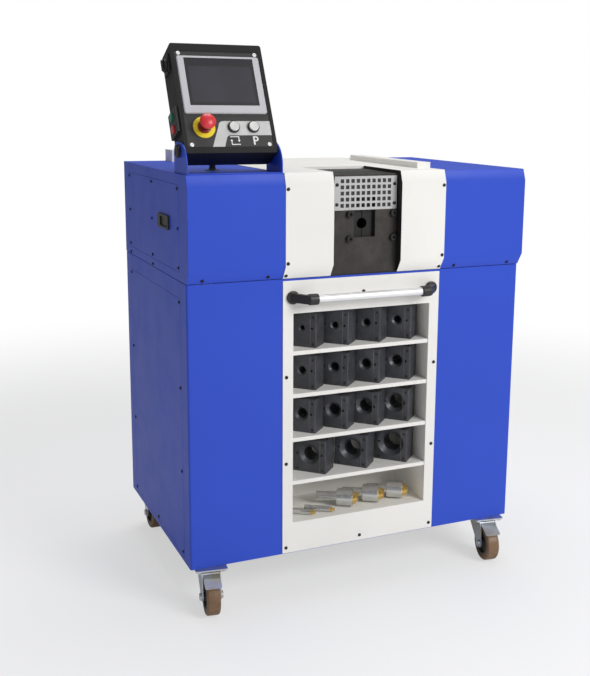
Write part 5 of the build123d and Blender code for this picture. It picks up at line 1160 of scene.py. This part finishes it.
class PRESS_OT_panel(PieceOperator, bpy.types.Operator):
    """Control panel with its screen, buttons, foil and cable"""

    bl_idname = "press.panel"
    bl_label = "Control panel"

    def make(self):
        plain = {
            "panel_enclosure": ("black_paint", "panel_paint"),
            "panel_front_plate": ("dark_plastic", "foil"),
            "screen_bezel": ("silver_paint", "screen_frame"),
            "screen_glass": ("screen_glass", "screen_glass"),
            "button_bezels": ("black_plastic", "black_plastic"),
            "side_switch_housings": ("black_plastic", "black_plastic"),
            "panel_gland": ("black_plastic", "black_plastic"),
        }
        for node, (slot, material) in plain.items():
            dressed(node, PANEL_BODY, slot, material, FINE_EDGE)
        # the stem takes the darker copy of the stop red: painted shade under the mushroom
        dressed("stop_stem", "stop_stem", "red_plastic", "stop_red_dark", FINE_EDGE)
        dressed("start_button", "start_button", "green_plastic", "start_green", FINE_EDGE)
        dressed("stop_button", "stop_button", "red_plastic", "stop_red", FINE_EDGE)
        dressed("main_switch_knob", "main_switch_knob", "black_plastic", "black_plastic", FINE_EDGE)
        dressed("cable_glands", CABINET, "black_plastic", "black_plastic", FINE_EDGE)
        self.stop()
        self.caps()
        self.foil()
        self.knobs()
        self.cable()

    def stop(self):
        place = on_panel("stop_head")
        ring = [(-1, 17.02), (-1, 28), (0.9, 28), (1.5, 27.4), (1.5, 17.02), (-1, 17.02)]
        turned_piece("stop_legend_ring", place, ring, PANEL_BODY,
                     "yellow_plastic", "ring_yellow", "stop_ring")
        collar = [(-20, 12.05), (-20, 14.5), (-1, 14.5), (-1, 17), (9.6, 17), (10.6, 16.6), (11, 15.6),
                  (11, 12.05), (-20, 12.05)]
        # the collar takes the darker copy of the stop red: painted shade under the mushroom
        turned_piece("stop_collar", place, collar, PANEL_BODY, "red_plastic", "stop_red_dark", "stop_ring")
        turns = (0, 0.16, 0.32, 0.48, 0.64, 0.82, 1.0, 1.2, 1.4)
        dome = [(45 - 17 * (1 - math.cos(turn)) * 0.62, 20 * math.sin(turn)) for turn in turns]
        flank = [(36, 20), (33, 19.8), (30.5, 18.9), (28.6, 17.4), (28, 16.4), (28, 6.05), (37, 6.05),
                 (37, 0)]
        turned_piece("stop_mushroom", place, dome + flank, "stop_head",
                     "red_plastic", "stop_red", "stop_head")

    def caps(self):
        profile = [(-9.2, 0), (-9.2, 5), (2.8, 5), (2.8, 12.2), (8.1, 12.2), (8.75, 11.9), (9, 11.2),
                   (8.9, 10), (8.4, 6), (8.2, 0)]
        for node in ("cycle_button", "program_button"):
            turned_piece(node + "_cap", on_panel(node), profile, node, "white_plastic", "white_cap", node)

    def foil(self):
        """Light zone and signs of the front foil, and the plate's corner screws."""
        plate_low, plate_high = panel_span("panel_front_plate")
        place = PANEL @ Matrix.Translation((0, plate_low.y, 0))
        right, low = 110, 16.7
        zone = [(-48, low), (-24.4, 74.5)] + arc((-12, 72), 13, 165, 90, 6)
        zone += [(right, 85), (right, 47), (1, 47)]
        zone += arc((1, 37), 10, 90, 155, 5) + [(-17, low)]
        self.printed("foil_zone", zone, place, "silver_paint", "foil_light")
        arrow = [(0, 44.5), (23, 44.5), (23, 34), (25.4, 34), (21.8, 29), (18.2, 34), (20.6, 34),
                 (20.6, 42.1), (0, 42.1)]
        back_arrow = [(24.4 - x, 66 - z) for x, z in arrow]
        self.printed("cycle_sign_upper", arrow, place, "white_plastic", "foil_print")
        self.printed("cycle_sign_lower", back_arrow, place, "white_plastic", "foil_print")
        letter = [(59, 21.5), (63.4, 21.5), (63.4, 30.5)] + arc((66.4, 37.5), 7, -90, 90, 8) + [(59, 44.5)]
        eye = [(63.4, 34.3)] + arc((66, 37.5), 3.2, -90, 90, 6) + [(63.4, 40.7)]
        self.printed("program_sign", letter, place, "white_plastic", "foil_print", [eye])
        outward = PANEL.to_3x3() @ Vector((0, -1, 0))
        heights = (plate_low.z + PANEL_SCREW_ABOVE_FOOT, plate_high.z - PANEL_SCREW_BELOW_TOP)
        corners = [(x, z) for x in (-PANEL_SCREW_ACROSS, PANEL_SCREW_ACROSS) for z in heights]
        places = [(PANEL @ Vector((x, plate_low.y, z)), outward) for x, z in corners]
        screws("panel_corner_screws", places, *PANEL_SCREW, PANEL_BODY, "zinc_steel", "zinc_bright")

    def printed(self, name, outline, place, slot, material, holes=()):
        """A print on the foil from an outline in millimetres."""
        shape = [(x * MM, z * MM) for x, z in outline]
        gaps = [[(x * MM, z * MM) for x, z in hole] for hole in holes]
        made = flat_shape(name, shape, place, sizes().foil_thickness, gaps)
        piece(made, PANEL_BODY, slot, material)

    def knobs(self):
        """The two clamping knobs that the panel tilts on."""
        turning = Vector(joint("panel_tilt")["pos_m"])
        low, high = span("panel_bracket")
        for name, outer, turn in (("pivot_knob_left", low.x, math.pi), ("pivot_knob_right", high.x, 0)):
            place = Matrix.Translation((outer, turning.y, turning.z)) @ Matrix.Rotation(turn, 4, "Z")
            knob = fluted_knob(name, place)
            piece(knob, CABINET, "black_plastic", "black_plastic", "large_screws")

    def cable(self):
        """The panel's cable: a tube that bends between the gland on the cabinet and the one on the panel."""
        gland_low, gland_high = panel_span("panel_gland")
        middle_x, middle_z = (gland_low.x + gland_high.x) / 2, (gland_low.z + gland_high.z) / 2
        start = PANEL @ Vector((middle_x, gland_high.y, middle_z))
        first = PANEL @ Vector((middle_x, gland_high.y + CABLE_FIRST_RUN, middle_z))
        points = [start, first] + [Vector((start.x, y, z)) for y, z in CABLE_ROUTE]
        seat = Matrix.Translation((points[-1].x, points[-1].y, CABLE_SEAT))
        foot = [(0.1, 10.2), (0.1, 19), (1.6, 19), (2.8, 18), (3.6, 14), (3.8, 12.5), (3.8, 10.2),
                (0.1, 10.2)]
        turned_piece("cable_gland_foot", seat @ Matrix.Rotation(-math.pi / 2, 4, "Y"), foot, CABINET,
                     "black_plastic", "black_plastic")
        made = tube("panel_cable_sheath", smooth_route(points), CABLE_RADIUS)
        made.data.materials.append(finish("sheath"))
        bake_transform(made)
        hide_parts("panel_cable")


class PRESS_OT_casters(PieceOperator, bpy.types.Operator):
    """Casters: plates, forks, pedals, treads and hubs"""

    bl_idname = "press.casters"
    bl_label = "Casters"

    def make(self):
        dressed("front_caster_plates", CABINET, "zinc_steel", "zinc")
        dressed("rear_caster_forks", CABINET, "zinc_steel", "zinc")
        for side in ("left", "right"):
            dressed(f"front_{side}_fork", f"front_{side}_fork", "zinc_steel", "zinc")
            dressed(f"front_{side}_pedal", f"front_{side}_pedal", "zinc_steel", "zinc")
            for end in ("front", "rear"):
                self.wheel(f"{end}_{side}")

    def wheel(self, name):
        node = name + "_wheel"
        place = wheel_place(name + "_roll")
        tread = [(x * MM, r * MM) for x, r in tread_profile()]
        tyre = lathe(node + "_tread", tread, place, 96)
        piece(tyre, node, "amber_tyre", "tread", node)
        hub = lathe(node + "_hub", [(x * MM, r * MM) for x, r in hub_profile()], place, 72)
        piece(hub, node, "amber_tyre", "hub_plastic", node)


def tread_profile():
    """(across, radius) of the tread in millimetres, from bead to bead over the crown and back inside."""
    half, inner, outer, round_ = 18.0, 33.0, 50.0, 6.0
    right = arc((half - round_, outer - round_), round_, 0, 90)
    points = [(half - 1.5, inner), (half - 1.5, inner + 4), (half, inner + 6)] + right
    left = [(-x, r) for x, r in reversed(points)]
    return points + left + [points[0]]


def hub_profile():
    """(across, radius) of the hub in millimetres, from the axle hole on one side to the other and back."""
    right = [(20, 6.1), (20, 11), (19, 12), (11.5, 13.5), (10, 15), (10, 26), (11.5, 27.5), (17, 28.5),
             (18, 30), (18, 32), (17, 32.9)]
    left = [(-x, r) for x, r in reversed(right)]
    return right + left + [right[0]]


class PRESS_OT_stage(PieceOperator, bpy.types.Operator):
    """Floor, lights, sky and camera"""

    bl_idname = "press.stage"
    bl_label = "Stage"

    def make(self):
        self.floor()
        self.lights()
        self.sky()
        self.camera()

    def floor(self):
        ground = Finish("stage_floor", Roughness=0.6, Base_Color=(0.9, 0.9, 0.9, 1.0), Specular_IOR_Level=0.2)
        here = {0: ground.place()}
        far = ground.node("ShaderNodeVectorMath", {"operation": "LENGTH"}, here, output="Value")
        glow = ground.node("ShaderNodeEmission", {}, {"Color": (1, 1, 1, 1), "Strength": 1.0})
        path = ground.tree.nodes.new("ShaderNodeLightPath")
        seen = Term(ground, path.outputs["Is Camera Ray"])
        share = (far.between(1.4, 3.6) * 0.45 + 0.55) * (seen * 0.8 + 0.2)
        lit = Term(ground, ground.shader.outputs[0])
        mixed = ground.node("ShaderNodeMixShader", {}, {0: share, 1: lit, 2: glow})
        output = next(n for n in ground.tree.nodes if n.type == "OUTPUT_MATERIAL")
        ground.tree.links.new(mixed.socket, output.inputs[0])
        work = bmesh.new()
        bmesh.ops.create_grid(work, x_segments=1, y_segments=1, size=40)
        floor = from_bmesh("stage_floor", work)
        floor.data.materials.append(ground.material)

    def lights(self):
        target = Vector((0, 0, 0.75))
        for name, place, size, power in (
            ("stage_key", (1.9, -4.1, 3.0), 2.4, 150),
            ("stage_fill", (-1.2, -4.8, 1.6), 2.2, 10),
            ("stage_top", (0.3, 0.6, 4.2), 2.6, 74),
        ):
            data = bpy.data.lights.new(name, "AREA")
            data.shape = "DISK"
            data.size = size
            data.energy = power
            light = new_object(name, data)
            light.location = place
            light.rotation_euler = (target - Vector(place)).to_track_quat("-Z", "Y").to_euler()

    def sky(self):
        world = bpy.data.worlds.new("stage_sky")
        bpy.context.scene.world = world
        world.use_nodes = True
        world.node_tree.nodes.clear()
        sky = Tree(world.node_tree)
        path = world.node_tree.nodes.new("ShaderNodeLightPath")
        seen = Term(sky, path.outputs["Is Camera Ray"]) + Term(sky, path.outputs["Is Transmission Ray"])
        bright = sky.node("ShaderNodeBackground", {}, {"Color": (1, 1, 1, 1), "Strength": 1.0})
        soft = sky.node("ShaderNodeBackground", {}, {"Color": (0.95, 0.97, 1.0, 1), "Strength": 0.25})
        mixed = sky.node("ShaderNodeMixShader", {}, {0: seen, 1: soft, 2: bright})
        output = world.node_tree.nodes.new("ShaderNodeOutputWorld")
        world.node_tree.links.new(mixed.socket, output.inputs[0])

    def camera(self):
        data = bpy.data.cameras.new("stage_camera")
        data.lens = 53.40
        data.sensor_width = 36
        data.shift_x = -0.0350
        data.shift_y = -0.0565
        camera = new_object("stage_camera", data)
        camera.location = (-1.15911, -2.62592, 1.31050)
        camera.rotation_euler = [math.radians(angle) for angle in (79.008, -0.510, -23.770)]
        scene = bpy.context.scene
        scene.camera = camera
        scene.view_settings.view_transform = "Standard"


class PRESS_PT_sidebar(bpy.types.Panel):
    """Buttons for the pieces and fields for their sizes and colours"""

    bl_idname = "PRESS_PT_sidebar"
    bl_label = "Crimping press"
    bl_space_type = "VIEW_3D"
    bl_region_type = "UI"
    bl_category = "Press"

    def draw(self, context):
        for operator in OPERATORS:
            self.layout.operator(operator.bl_idname)
        for group in (context.scene.press_sizes, context.scene.press_colours):
            for name in group.__annotations__:
                self.layout.prop(group, name)


OPERATORS = (
    PRESS_OT_stage,
    PRESS_OT_covers,
    PRESS_OT_screws,
    PRESS_OT_head,
    PRESS_OT_rack,
    PRESS_OT_panel,
    PRESS_OT_casters,
)
CLASSES = (PressColours, PressSizes, *OPERATORS, PRESS_PT_sidebar)


def register():
    for made in CLASSES:
        bpy.utils.register_class(made)
    bpy.types.Scene.press_colours = PointerProperty(type=PressColours)
    bpy.types.Scene.press_sizes = PointerProperty(type=PressSizes)


def unregister():
    del bpy.types.Scene.press_sizes
    del bpy.types.Scene.press_colours
    for made in reversed(CLASSES):
        bpy.utils.unregister_class(made)


def main():
    register()
    for operator in OPERATORS:
        group, name = operator.bl_idname.split(".")
        getattr(getattr(bpy.ops, group), name)()


if __name__ == "__main__":
    main()
